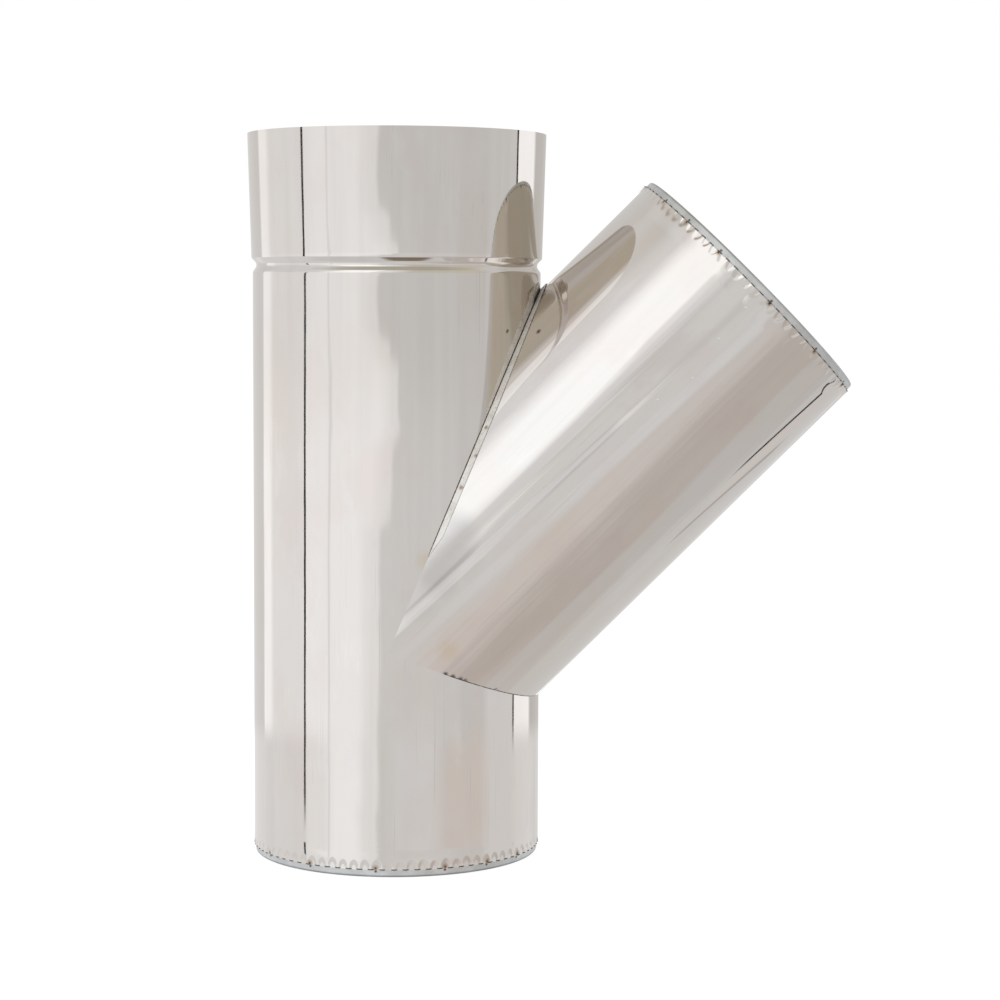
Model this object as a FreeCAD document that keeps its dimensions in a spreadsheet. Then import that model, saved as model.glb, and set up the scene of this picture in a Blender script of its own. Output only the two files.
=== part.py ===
import FreeCAD, Part
import os
import re

import Sketcher

# Twin-wall insulated chimney tee: an upright run with a branch of the same size at an angle.
# Millimetres. The origin is on the run's axis in the plane of the base ring, +Z goes up the run,
# and the branch leans towards +X. Run pieces are drawn in this frame. Branch pieces are drawn
# about their own axis, with the axes' crossing as their origin, and are then tilted into place.

SIZES = (
    ("casing_radius", 100.0, "outside radius of both casings"),
    ("casing_wall", 0.5, "casing sheet"),
    ("branch_angle", 45.0, "between the run and the branch, degrees"),
    ("crossing_height", 152.0, "where the two axes meet"),
    ("branch_length", 348.0, "axes' crossing to the branch ring's face"),
    ("crotch_clearance", 11.7, "upper crotch to the groove's lower shoulder"),
    ("bead_depth", 3.4, "groove's corner below the casing's surface, before its bend"),
    ("bead_lead", 4.9, "height of the groove's soft lower side"),
    ("bead_rise", 4.5, "height of the groove's steep upper side"),
    ("bead_floor_bend", 3.0, "bend at the groove's floor"),
    ("bead_lower_bend", 4.0, "bend at the groove's lower shoulder"),
    ("bead_upper_bend", 1.2, "bend at the groove's upper shoulder"),
    ("socket_depth", 85.5, "groove's upper shoulder to the socket's mouth"),
    ("socket_step", 0.9, "outer socket's surface beyond the casing's, at the groove"),
    ("socket_flare", 2.6, "how much further out the socket's mouth is"),
    ("flue_radius", 57.5, "inside radius of the flue"),
    ("flue_wall", 0.5, "flue sheet"),
    ("flue_socket_depth", 50.0, "straight part of the flue's sockets"),
    ("flue_socket_clearance", 0.15, "socket's inside beyond the spigot's outside"),
    ("flue_socket_taper", 3.0, "height of the cone from the flue to its socket"),
    ("stop_bead_height", 6.0, "flue's stop bead, along the axis"),
    ("stop_bead_slope", 2.0, "height of each of the stop bead's sloping sides"),
    ("stop_bead_depth", 2.5, "flue's stop bead beyond the flue's surface"),
    ("stop_bead_lift", 2.0, "cover ring's face to the stop bead"),
    ("spigot_length", 54.0, "straight part of the flue's spigot"),
    ("spigot_lead", 3.0, "height of the spigot's tapered end"),
    ("spigot_taper", 0.8, "how much the spigot narrows at its end"),
    ("ring_wall", 0.5, "end ring and cover ring sheet"),
    ("ring_band", 5.0, "end ring's band that stands past the casing"),
    ("ring_inset", 1.0, "end ring's band inside the casing's outer surface"),
    ("ring_bend", 1.6, "outer bend between an end ring's face and its band"),
    ("ring_collar", 10.0, "end ring's collar inside the casing"),
    ("ring_sleeve", 12.0, "collar of each ring along the flue"),
    ("ring_fit", 0.1, "clearance of each ring to the tube that it is welded to"),
    ("cover_lift", 1.4, "groove's upper shoulder to the cover ring"),
    ("cover_rim", 6.0, "upturned rim of the cover ring"),
    ("lip_width", 3.6, "branch's folded lip, seen square to the upper seam"),
    ("lip_rise", 0.8, "lip's face beyond the casing's surface"),
    ("lip_start", 22.0, "where the lip begins, from the run's axis"),
    ("lip_full", 32.0, "where the lip has its full width"),
    ("wool_gap", 0.2, "wool to the sheets round it"),
    ("crimp_count", 80.0, "crimps round each casing's end"),
    ("crimp_height", 7.0, "how far a crimp reaches up from the casing's edge"),
    ("crimp_gap", 0.05, "bottom of a crimp to the ring's collar"),
    ("crimp_margin", 1.0, "plain sheet above the crimps, in the same band"),
    ("crimp_width", 6.4, "how wide a crimp is at the casing's edge"),
)
ALIASES = tuple(alias for alias, _, _ in SIZES)
SHEET = "Sizes"

# A coordinate under ON_AXIS is on the axis, a plane whose normal's Z is over SQUARE is level,
# and a cut that takes less than LEAST_CUT, in cubic millimetres, has missed its piece
ON_AXIS = 1e-9
SQUARE = 0.999
LEAST_CUT = 1.0

# Radii and heights that several pieces share, each worked out from the sheet
CASING_BORE = "(casing_radius - casing_wall)"
FLUE_OUTER = "(flue_radius + flue_wall)"
FLUE_SOCKET_OUTER = f"({FLUE_OUTER} + flue_socket_clearance + flue_wall)"
FLUE_SOCKET_TOP = "(flue_socket_depth + flue_socket_taper)"
GROOVE_RADIUS = "(casing_radius - bead_depth)"
SOCKET_RADIUS = "(casing_radius + socket_step)"
UPPER_CROTCH = "(crossing_height + casing_radius / tan(branch_angle / 2))"
SHOULDER_LOW = f"({UPPER_CROTCH} + crotch_clearance)"
BEAD_HEIGHT = f"({SHOULDER_LOW} + bead_lead)"
SHOULDER_HIGH = f"({BEAD_HEIGHT} + bead_rise)"
TOTAL_HEIGHT = f"({SHOULDER_HIGH} + socket_depth)"
COVER_HEIGHT = f"({SHOULDER_HIGH} + cover_lift)"
SPIGOT_BASE = f"({COVER_HEIGHT} + ring_wall + stop_bead_lift + stop_bead_height)"
SLEEVE_RADIUS = f"({FLUE_SOCKET_OUTER} + ring_fit)"
BAND_RADIUS = "(casing_radius - ring_inset)"
COLLAR_TOP = "(ring_band + ring_collar)"
CRIMP_DEPTH = "(ring_inset - casing_wall - crimp_gap)"
CRIMP_LEAN = f"atan({CRIMP_DEPTH} / crimp_height)"
CRIMPED = "(crimp_height + crimp_margin)"
REACH = f"({TOTAL_HEIGHT} + branch_length)"


def bound(expression):
    """The expression with each size's name turned into its cell on the sheet."""
    return re.sub(r"[a-z_]+", lambda m: f"{SHEET}.{m[0]}" if m[0] in ALIASES else m[0], expression)


def value(holder, expression):
    """The number that an expression gives now."""
    result = holder.evalExpression(bound(expression))
    return float(getattr(result, "Value", result))


def size_sheet(doc):
    """The driving dimensions, one row each: what it is and its value."""
    sheet = doc.addObject("Spreadsheet::Sheet", SHEET)
    for row, (alias, number, meaning) in enumerate(SIZES, start=1):
        sheet.set(f"A{row}", meaning)
        sheet.set(f"B{row}", str(number))
        sheet.setAlias(f"B{row}", alias)
    doc.recompute()
    return sheet


def new_body(doc, name):
    """An empty body, labelled with the name that its piece or part of a piece has."""
    body = doc.addObject("PartDesign::Body", name)
    body.Label = name
    return body


def origin_item(body, role):
    """One of the body's own origin planes or axes."""
    return next(o for o in body.Origin.OriginFeatures if o.Role == role)


def pin_coordinate(sketch, point, direction, expression):
    """Ties one coordinate of a point of the sketch to the sheet."""
    number = value(sketch, expression)
    if abs(number) < ON_AXIS:
        axis = -2 if direction == "DistanceX" else -1
        sketch.addConstraint(Sketcher.Constraint("PointOnObject", *point, axis))
        return
    ends = (-1, 1, *point) if number > 0 else (*point, -1, 1)
    index = sketch.addConstraint(Sketcher.Constraint(direction, *ends, abs(number)))
    signed = expression if number > 0 else f"-({expression})"
    sketch.setExpression(f"Constraints[{index}]", bound(signed))


def round_corners(sketch, bends):
    """Rounds the corners where the given lines start. Each corner is kept as a point of its own,
    and the arcs' radii are tied to the sheet."""
    kept = {}
    for line, radius in bends.items():
        sketch.fillet(line, 1, value(sketch, radius), True, True)
        kept[line] = sketch.GeometryCount - 1
    for line, radius in bends.items():
        arc = kept[line] - 1
        index = sketch.addConstraint(Sketcher.Constraint("Radius", arc, value(sketch, radius)))
        sketch.setExpression(f"Constraints[{index}]", bound(radius))
    return {line: (point, 1) for line, point in kept.items()}


def outline(body, name, corners, bends=None, plane="XZ_Plane"):
    """A closed outline on one of the body's planes, each corner tied to the sheet. A corner
    named in bends is rounded to the radius given there."""
    sketch = body.newObject("Sketcher::SketchObject", name)
    sketch.AttachmentSupport = (origin_item(body, plane), "")
    sketch.MapMode = "FlatFace"
    points = [FreeCAD.Vector(value(sketch, x), value(sketch, y), 0) for x, y in corners]
    for start, end in zip(points, points[1:] + points[:1]):
        sketch.addGeometry(Part.LineSegment(start, end))
    for line in range(len(points)):
        following = (line + 1) % len(points)
        sketch.addConstraint(Sketcher.Constraint("Coincident", line, 2, following, 1))
    rounded = round_corners(sketch, {corners.index(c): r for c, r in (bends or {}).items()})
    for line, (x, y) in enumerate(corners):
        point = rounded.get(line, (line, 1))
        pin_coordinate(sketch, point, "DistanceX", x)
        pin_coordinate(sketch, point, "DistanceY", y)
    return sketch


def revolve(body, name, corners, bends=None):
    """A section in the XZ plane, turned about the body's Z axis."""
    turned = body.newObject("PartDesign::Revolution", name)
    turned.Profile = outline(body, f"{name}_section", corners, bends=bends)
    turned.ReferenceAxis = (turned.Profile[0], ["V_Axis"])
    turned.Angle = 360
    body.Document.recompute()
    return turned


def open_tube(body, name, base, wall):
    """Turns the solid form into sheet of one thickness, inwards, open at both flat ends."""
    flats = []
    for number, face in enumerate(base.Shape.Faces, start=1):
        if isinstance(face.Surface, Part.Plane) and abs(face.Surface.Axis.z) > SQUARE:
            flats.append(f"Face{number}")
    sheet = body.newObject("PartDesign::Thickness", name)
    sheet.Base = (base, flats)
    sheet.Reversed = True
    sheet.Join = "Intersection"
    sheet.setExpression("Value", bound(wall))
    body.Document.recompute()
    return sheet


def cut_through(body, name, profile):
    """Cuts an outline right through the piece, both ways from its plane."""
    before = body.Shape.Volume
    cut = body.newObject("PartDesign::Pocket", name)
    cut.Profile = profile
    cut.Type = "ThroughAll"
    cut.SideType = "Symmetric"
    body.Document.recompute()
    if body.Shape.Volume > before - LEAST_CUT:
        raise ValueError(f"{name} cuts nothing from {body.Label}")
    return cut


# The two mitre planes pass through the axes' crossing. The upper one halves the angle between
# the run and the branch, and the lower one is square to it, so both tubes share each cut.
HALF = "(branch_angle / 2)"


def cut_run_mitre(body):
    """Opens a run piece where the branch takes over."""
    across = (f"{REACH} * sin({HALF})", f"crossing_height + {REACH} * cos({HALF})")
    along = (f"{REACH} * cos({HALF})", f"crossing_height - {REACH} * sin({HALF})")
    far = (
        f"{REACH} * (sin({HALF}) + cos({HALF}))",
        f"crossing_height + {REACH} * (cos({HALF}) - sin({HALF}))",
    )
    corners = [("0", "crossing_height"), along, far, across]
    return cut_through(body, "run_mitre", outline(body, "run_mitre_outline", corners))


def cut_branch_mitre(body):
    """Takes from a branch piece what lies on the run's side of the mitre planes."""
    corners = [
        ("0", "0"),
        (f"{REACH} * cos({HALF})", f"{REACH} * sin({HALF})"),
        (REACH, f"-{REACH}"),
        (f"-{REACH}", f"-{REACH}"),
        (f"-{REACH} * sin({HALF})", f"{REACH} * cos({HALF})"),
    ]
    return cut_through(body, "branch_mitre", outline(body, "branch_mitre_outline", corners))


def tilt_to_branch(piece, along="0", turn="branch_angle"):
    """Places a piece on the branch's axis, a distance along it from the crossing."""
    piece.Placement = FreeCAD.Placement(
        FreeCAD.Vector(), FreeCAD.Rotation(FreeCAD.Vector(0, 1, 0), value(piece, turn))
    )
    piece.setExpression("Placement.Base.x", bound(f"({along}) * sin(branch_angle)"))
    piece.setExpression("Placement.Base.z", bound(f"crossing_height + ({along}) * cos(branch_angle)"))
    piece.setExpression("Placement.Rotation.Angle", bound(turn))


def dented_disc(doc, name, radius):
    """A disc with a ring of V-shaped dents round its lower edge, deepest at the edge and running
    out to nothing. The V is drawn square to its floor, on a plane that leans outwards."""
    body = new_body(doc, name)
    corners = [("0", "0"), (radius, "0"), (radius, CRIMPED), ("0", CRIMPED)]
    revolve(body, f"{name}_form", corners)
    beyond = f"2 * {CRIMP_DEPTH}"
    corners = [("0", "0"), (beyond, "crimp_width"), (beyond, "-crimp_width")]
    section = outline(body, f"{name}_section", corners, plane="XY_Plane")
    lean = FreeCAD.Rotation(FreeCAD.Vector(0, 1, 0), value(body, CRIMP_LEAN))
    section.AttachmentOffset = FreeCAD.Placement(FreeCAD.Vector(), lean)
    section.setExpression("AttachmentOffset.Base.x", bound(f"{radius} - {CRIMP_DEPTH}"))
    section.setExpression("AttachmentOffset.Rotation.Angle", bound(CRIMP_LEAN))
    dent = cut_through(body, f"{name}_dent", section)
    ring = body.newObject("PartDesign::PolarPattern", f"{name}_dents")
    ring.Originals = [dent]
    ring.Axis = (origin_item(body, "Z_Axis"), [""])
    ring.Angle = 360
    ring.setExpression("Occurrences", bound("crimp_count"))
    body.Tip = ring
    doc.recompute()
    return body


def crimped_band(doc, name):
    """The casing's crimped end, pressed onto the end ring's collar. Its edge is at its origin.
    The inner side has the same dents as the outer one, so the sheet keeps its wall."""
    band = doc.addObject("Part::Cut", name)
    band.Base = dented_disc(doc, f"{name}_outside", "casing_radius")
    band.Tool = dented_disc(doc, f"{name}_inside", CASING_BORE)
    doc.recompute()
    return band


def fused(doc, name, pieces):
    """One piece of sheet made of several."""
    whole = doc.addObject("Part::MultiFuse", name)
    whole.Label = name
    whole.Shapes = pieces
    whole.Refine = True
    doc.recompute()
    return whole


def run_casing(doc):
    """Upright outer tube: crimped base edge, rolled groove, and a flared socket above it."""
    body = new_body(doc, "run_tube")
    foot = f"ring_band + {CRIMPED}"
    groove_floor = (GROOVE_RADIUS, BEAD_HEIGHT)
    lower_shoulder = ("casing_radius", SHOULDER_LOW)
    upper_shoulder = (SOCKET_RADIUS, SHOULDER_HIGH)
    form = revolve(
        body,
        "run_form",
        [
            ("0", foot),
            ("casing_radius", foot),
            lower_shoulder,
            groove_floor,
            upper_shoulder,
            (f"{SOCKET_RADIUS} + socket_flare", TOTAL_HEIGHT),
            ("0", TOTAL_HEIGHT),
        ],
        bends={
            lower_shoulder: "bead_lower_bend",
            groove_floor: "bead_floor_bend",
            upper_shoulder: "bead_upper_bend",
        },
    )
    open_tube(body, "run_sheet", form, "casing_wall")
    cut_run_mitre(body)
    band = crimped_band(doc, "run_crimps")
    band.setExpression("Placement.Base.z", bound("ring_band"))
    return fused(doc, "run_casing", [body, band])


def branch_tube(doc):
    """Slanted outer tube, mitred to the run."""
    body = new_body(doc, "branch_tube")
    end = f"branch_length - ring_band - {CRIMPED}"
    corners = [("0", "0"), ("casing_radius", "0"), ("casing_radius", end), ("0", end)]
    form = revolve(body, "branch_form", corners)
    open_tube(body, "branch_sheet", form, "casing_wall")
    cut_branch_mitre(body)
    tilt_to_branch(body)
    return body


def seam_point(along, out):
    """A corner in the XZ plane: along is its distance from the run's axis, out its offset from
    the upper seam, towards the branch if positive."""
    x = f"({along}) + ({out}) * cos({HALF})"
    z = f"crossing_height + ({along}) / tan({HALF}) - ({out}) * sin({HALF})"
    return x, z


def seam_slab(doc, name, corners):
    """A flat outline beside the upper seam, carried through the whole tube."""
    body = new_body(doc, name)
    slab = body.newObject("PartDesign::Pad", f"{name}_pad")
    slab.Profile = outline(body, f"{name}_outline", corners)
    slab.SideType = "Symmetric"
    slab.setExpression("Length", bound(REACH))
    doc.recompute()
    return body


def shell_band(doc, name, inner, outer, length):
    """A plain tube between two radii, as one cylinder cut from another."""
    solids = []
    for part, radius in (("outer", outer), ("inner", inner)):
        solid = doc.addObject("Part::Cylinder", f"{name}_{part}")
        solid.setExpression("Radius", bound(radius))
        solid.setExpression("Height", bound(length))
        solids.append(solid)
    band = doc.addObject("Part::Cut", name)
    band.Base, band.Tool = solids
    return band


def common(doc, name, first, second):
    """What two solids have in common."""
    both = doc.addObject("Part::Common", name)
    both.Base = first
    both.Tool = second
    return both


def branch_casing(doc):
    """The branch's outer tube, its edge folded into a narrow raised lip along the upper seam."""
    tube = branch_tube(doc)
    beyond = "(casing_radius + 2 * lip_width)"
    beside_seam = seam_slab(
        doc,
        "lip_slab",
        [
            seam_point("lip_start", "0"),
            seam_point("lip_full", "lip_width"),
            seam_point(beyond, "lip_width"),
            seam_point(beyond, "0"),
        ],
    )
    lip_band = shell_band(doc, "lip_band", CASING_BORE, "casing_radius + lip_rise", "branch_length")
    tilt_to_branch(lip_band)
    lip = common(doc, "lip", lip_band, beside_seam)
    band = crimped_band(doc, "branch_crimps")
    tilt_to_branch(band, along="branch_length - ring_band", turn="branch_angle + 180")
    return fused(doc, "branch_casing", [tube, lip, band])


def run_flue(doc):
    """Upright inner tube: socket at the base, stop bead and spigot at the top."""
    body = new_body(doc, "run_flue")
    bead_low = f"{SPIGOT_BASE} - stop_bead_height"
    bead_radius = f"{FLUE_OUTER} + stop_bead_depth"
    tip = f"{SPIGOT_BASE} + spigot_length"
    form = revolve(
        body,
        "flue_form",
        [
            ("0", "0"),
            (FLUE_SOCKET_OUTER, "0"),
            (FLUE_SOCKET_OUTER, "flue_socket_depth"),
            (FLUE_OUTER, FLUE_SOCKET_TOP),
            (FLUE_OUTER, bead_low),
            (bead_radius, f"{bead_low} + stop_bead_slope"),
            (bead_radius, f"{SPIGOT_BASE} - stop_bead_slope"),
            (FLUE_OUTER, SPIGOT_BASE),
            (FLUE_OUTER, tip),
            (f"{FLUE_OUTER} - spigot_taper", f"{tip} + spigot_lead"),
            ("0", f"{tip} + spigot_lead"),
        ],
    )
    open_tube(body, "flue_sheet", form, "flue_wall")
    cut_run_mitre(body)
    return body


def branch_flue(doc):
    """Slanted inner tube with a socket at its end, mitred to the run's flue."""
    body = new_body(doc, "branch_flue")
    form = revolve(
        body,
        "flue_form",
        [
            ("0", "0"),
            (FLUE_OUTER, "0"),
            (FLUE_OUTER, f"branch_length - {FLUE_SOCKET_TOP}"),
            (FLUE_SOCKET_OUTER, "branch_length - flue_socket_depth"),
            (FLUE_SOCKET_OUTER, "branch_length"),
            ("0", "branch_length"),
        ],
    )
    open_tube(body, "flue_sheet", form, "flue_wall")
    cut_branch_mitre(body)
    tilt_to_branch(body)
    return body


def end_ring(doc, name):
    """Pressed ring that closes the wool space: a face, a sleeve along the flue, and a rounded
    band that shows below the casing and goes on inside it as a collar. The inner side of the
    bend is a chamfer."""
    body = new_body(doc, name)
    face_corner = (BAND_RADIUS, "0")
    revolve(
        body,
        "ring_form",
        [
            (SLEEVE_RADIUS, "0"),
            face_corner,
            (BAND_RADIUS, COLLAR_TOP),
            (f"{BAND_RADIUS} - ring_wall", COLLAR_TOP),
            (f"{BAND_RADIUS} - ring_wall", "ring_bend"),
            (f"{BAND_RADIUS} - ring_bend", "ring_wall"),
            (f"{SLEEVE_RADIUS} + ring_wall", "ring_wall"),
            (f"{SLEEVE_RADIUS} + ring_wall", "ring_sleeve"),
            (SLEEVE_RADIUS, "ring_sleeve"),
        ],
        bends={face_corner: "ring_bend"},
    )
    return body


def cover_ring(doc):
    """Plate above the rolled groove: it closes the wool space and centres the flue."""
    body = new_body(doc, "top_cover_ring")
    sleeve = f"({FLUE_OUTER} + ring_fit)"
    rim = f"({SOCKET_RADIUS} - casing_wall - ring_fit)"
    face = f"({COVER_HEIGHT} + ring_wall)"
    revolve(
        body,
        "cover_form",
        [
            (sleeve, f"{COVER_HEIGHT} - ring_sleeve"),
            (f"{sleeve} + ring_wall", f"{COVER_HEIGHT} - ring_sleeve"),
            (f"{sleeve} + ring_wall", COVER_HEIGHT),
            (rim, COVER_HEIGHT),
            (rim, f"{face} + cover_rim"),
            (f"{rim} - ring_wall", f"{face} + cover_rim"),
            (f"{rim} - ring_wall", face),
            (sleeve, face),
        ],
    )
    return body


# Radii that the wool leaves free: the flue, the flue's socket with a ring's sleeve round it,
# the casing, the ring's collar, and the rolled groove
WOOL_INNER = f"({FLUE_OUTER} + wool_gap)"
WOOL_AT_SLEEVE = f"({SLEEVE_RADIUS} + ring_wall + wool_gap)"
WOOL_OUTER = f"({CASING_BORE} - wool_gap)"
WOOL_AT_COLLAR = f"({BAND_RADIUS} - ring_wall - wool_gap)"
WOOL_AT_GROOVE = f"({GROOVE_RADIUS} - casing_wall - wool_gap)"


def run_wool(doc):
    """Stone wool between the run's flue and its casing."""
    body = new_body(doc, "run_wool")
    low = "ring_wall + wool_gap"
    high = f"{COVER_HEIGHT} - wool_gap"
    pinch = f"{SHOULDER_LOW} - bead_lower_bend"
    sleeve_foot = f"{COVER_HEIGHT} - ring_sleeve - wool_gap"
    revolve(
        body,
        "wool_form",
        [
            (WOOL_AT_SLEEVE, low),
            (f"{BAND_RADIUS} - ring_bend - wool_gap", low),
            (WOOL_AT_COLLAR, "ring_bend + wool_gap"),
            (WOOL_AT_COLLAR, f"{COLLAR_TOP} + wool_gap"),
            (WOOL_OUTER, f"{COLLAR_TOP} + wool_gap"),
            (WOOL_OUTER, pinch),
            (WOOL_AT_GROOVE, pinch),
            (WOOL_AT_GROOVE, high),
            (f"{WOOL_INNER} + ring_fit + ring_wall", high),
            (f"{WOOL_INNER} + ring_fit + ring_wall", sleeve_foot),
            (WOOL_INNER, sleeve_foot),
            (WOOL_INNER, f"{FLUE_SOCKET_TOP} + wool_gap"),
            (WOOL_AT_SLEEVE, f"{FLUE_SOCKET_TOP} + wool_gap"),
        ],
    )
    cut_run_mitre(body)
    return body


def branch_wool(doc):
    """Stone wool between the branch's flue and its casing."""
    body = new_body(doc, "branch_wool")
    end = "branch_length - ring_wall - wool_gap"
    collar = f"branch_length - {COLLAR_TOP} - wool_gap"
    socket = f"branch_length - {FLUE_SOCKET_TOP} - wool_gap"
    revolve(
        body,
        "wool_form",
        [
            (WOOL_INNER, "0"),
            (WOOL_OUTER, "0"),
            (WOOL_OUTER, collar),
            (WOOL_AT_COLLAR, collar),
            (WOOL_AT_COLLAR, "branch_length - ring_bend - wool_gap"),
            (f"{BAND_RADIUS} - ring_bend - wool_gap", end),
            (WOOL_AT_SLEEVE, end),
            (WOOL_AT_SLEEVE, socket),
            (WOOL_INNER, socket),
        ],
    )
    cut_branch_mitre(body)
    tilt_to_branch(body)
    return body


def check_document(doc, pieces):
    """Stops if any object failed or any piece is empty, broken or in several parts."""
    for item in doc.Objects:
        if {"Invalid", "Error"} & set(item.State):
            raise ValueError(f"{item.Name} failed: {item.State}")
    for piece in pieces:
        if piece.Shape.isNull() or not piece.Shape.isValid():
            raise ValueError(f"{piece.Label} has no valid shape")
        if len(piece.Shape.Solids) != 1:
            raise ValueError(f"{piece.Label} has {len(piece.Shape.Solids)} solids")


def main():
    doc = FreeCAD.newDocument("chimney_tee")
    size_sheet(doc)
    pieces = [
        run_casing(doc),
        branch_casing(doc),
        run_flue(doc),
        branch_flue(doc),
        end_ring(doc, "base_end_ring"),
        end_ring(doc, "branch_end_ring"),
        cover_ring(doc),
        run_wool(doc),
        branch_wool(doc),
    ]
    tilt_to_branch(pieces[5], along="branch_length", turn="branch_angle + 180")
    doc.recompute()
    check_document(doc, pieces)
    os.makedirs("parts", exist_ok=True)
    for piece in pieces:
        piece.Shape.exportStep(f"parts/{piece.Label}.step")


main()
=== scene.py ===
"""Looks of an insulated twin-wall chimney tee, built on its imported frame.

Sizes are in millimetres and become metres where a mesh is made. The run's axis is Z, the branch
leans towards +X, and a branch piece is shaped on its own axis before it is tilted into place.
"""

import logging
import math
from dataclasses import dataclass, field
from enum import Enum

import bmesh
import bpy
from mathutils import Matrix, Vector

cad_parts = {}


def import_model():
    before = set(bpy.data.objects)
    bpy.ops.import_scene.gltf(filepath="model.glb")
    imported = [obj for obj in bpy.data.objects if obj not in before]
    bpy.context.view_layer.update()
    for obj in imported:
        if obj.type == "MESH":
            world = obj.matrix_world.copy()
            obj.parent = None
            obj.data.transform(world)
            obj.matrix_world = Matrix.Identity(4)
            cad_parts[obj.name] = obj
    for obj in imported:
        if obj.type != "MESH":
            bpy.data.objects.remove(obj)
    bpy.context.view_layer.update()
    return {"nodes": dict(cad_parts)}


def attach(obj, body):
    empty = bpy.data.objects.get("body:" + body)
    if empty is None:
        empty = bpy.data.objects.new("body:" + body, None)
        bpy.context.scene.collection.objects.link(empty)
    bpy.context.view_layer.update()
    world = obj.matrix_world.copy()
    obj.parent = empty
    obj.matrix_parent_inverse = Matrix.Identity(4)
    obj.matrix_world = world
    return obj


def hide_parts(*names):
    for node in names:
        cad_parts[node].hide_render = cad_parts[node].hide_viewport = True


LOG = logging.getLogger("chimney_tee")
MM = 0.001
DEGREES = 180 / math.pi
CASING_STEPS = 960
HIDDEN_STEPS = 480
SECTORS = 40
MERGE = 1e-6
ON_PLANE = 1e-6
CUT_REACH = 1e-8
CREASE = math.radians(28)

Triple = tuple[float, float, float]


class Signal:
    """A shader socket that takes part in sums, so that a finish reads as arithmetic."""

    def __init__(self, graph: "Graph", socket: bpy.types.NodeSocket) -> None:
        """Keeps the socket with the graph that it belongs to."""
        self.graph = graph
        self.socket = socket

    def _math(self, operation: str, *values: "float | Signal") -> "Signal":
        """One Math node on these values, in their order."""
        inputs = dict(enumerate(values))
        return self.graph.out("ShaderNodeMath", inputs, operation=operation)

    def __add__(self, other: "float | Signal") -> "Signal":
        """This plus the other."""
        return self._math("ADD", self, other)

    __radd__ = __add__

    def __sub__(self, other: "float | Signal") -> "Signal":
        """This less the other."""
        return self._math("SUBTRACT", self, other)

    def __rsub__(self, other: float) -> "Signal":
        """The other less this."""
        return self._math("SUBTRACT", other, self)

    def __mul__(self, other: "float | Signal") -> "Signal":
        """This times the other."""
        return self._math("MULTIPLY", self, other)

    __rmul__ = __mul__

    def larger(self, other: "float | Signal") -> "Signal":
        """The larger of the two."""
        return self._math("MAXIMUM", self, other)

    def size(self) -> "Signal":
        """This without its sign."""
        return self._math("ABSOLUTE", self)

    def angle_over(self, other: "Signal") -> "Signal":
        """The angle whose sine side is this and whose cosine side is the other."""
        return self._math("ARCTAN2", self, other)

    def cosine(self) -> "Signal":
        """The cosine of this angle."""
        return self._math("COSINE", self)

    def arcsine(self) -> "Signal":
        """The angle whose sine this is."""
        return self._math("ARCSINE", self)

    def fade(self, start: float, end: float) -> "Signal":
        """A smooth step from 0 at start to 1 at end, falling where end is the lower.

        Args:
            start: where the result is still 0.
            end: where the result has become 1.

        Returns:
            The step as a signal from 0 to 1.
        """
        low, high = (0.0, 1.0) if start < end else (1.0, 0.0)
        inputs = {
            "Value": self,
            "From Min": min(start, end),
            "From Max": max(start, end),
            "To Min": low,
            "To Max": high,
        }
        return self.graph.out("ShaderNodeMapRange", inputs, interpolation_type="SMOOTHSTEP")

    def within(self, start: float, full: float, waning: float, end: float) -> "Signal":
        """1 from full to waning, and 0 before start and after end."""
        return self.fade(start, full) * self.fade(end, waning)


@dataclass(frozen=True)
class Grain:
    """A noise pattern.

    Attributes:
        stretch: bumps for each metre, along each axis.
        detail: how many finer layers are added.
        rough: how strong the finer layers are.
    """

    stretch: Triple
    detail: float = 3.0
    rough: float = 0.5


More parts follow.
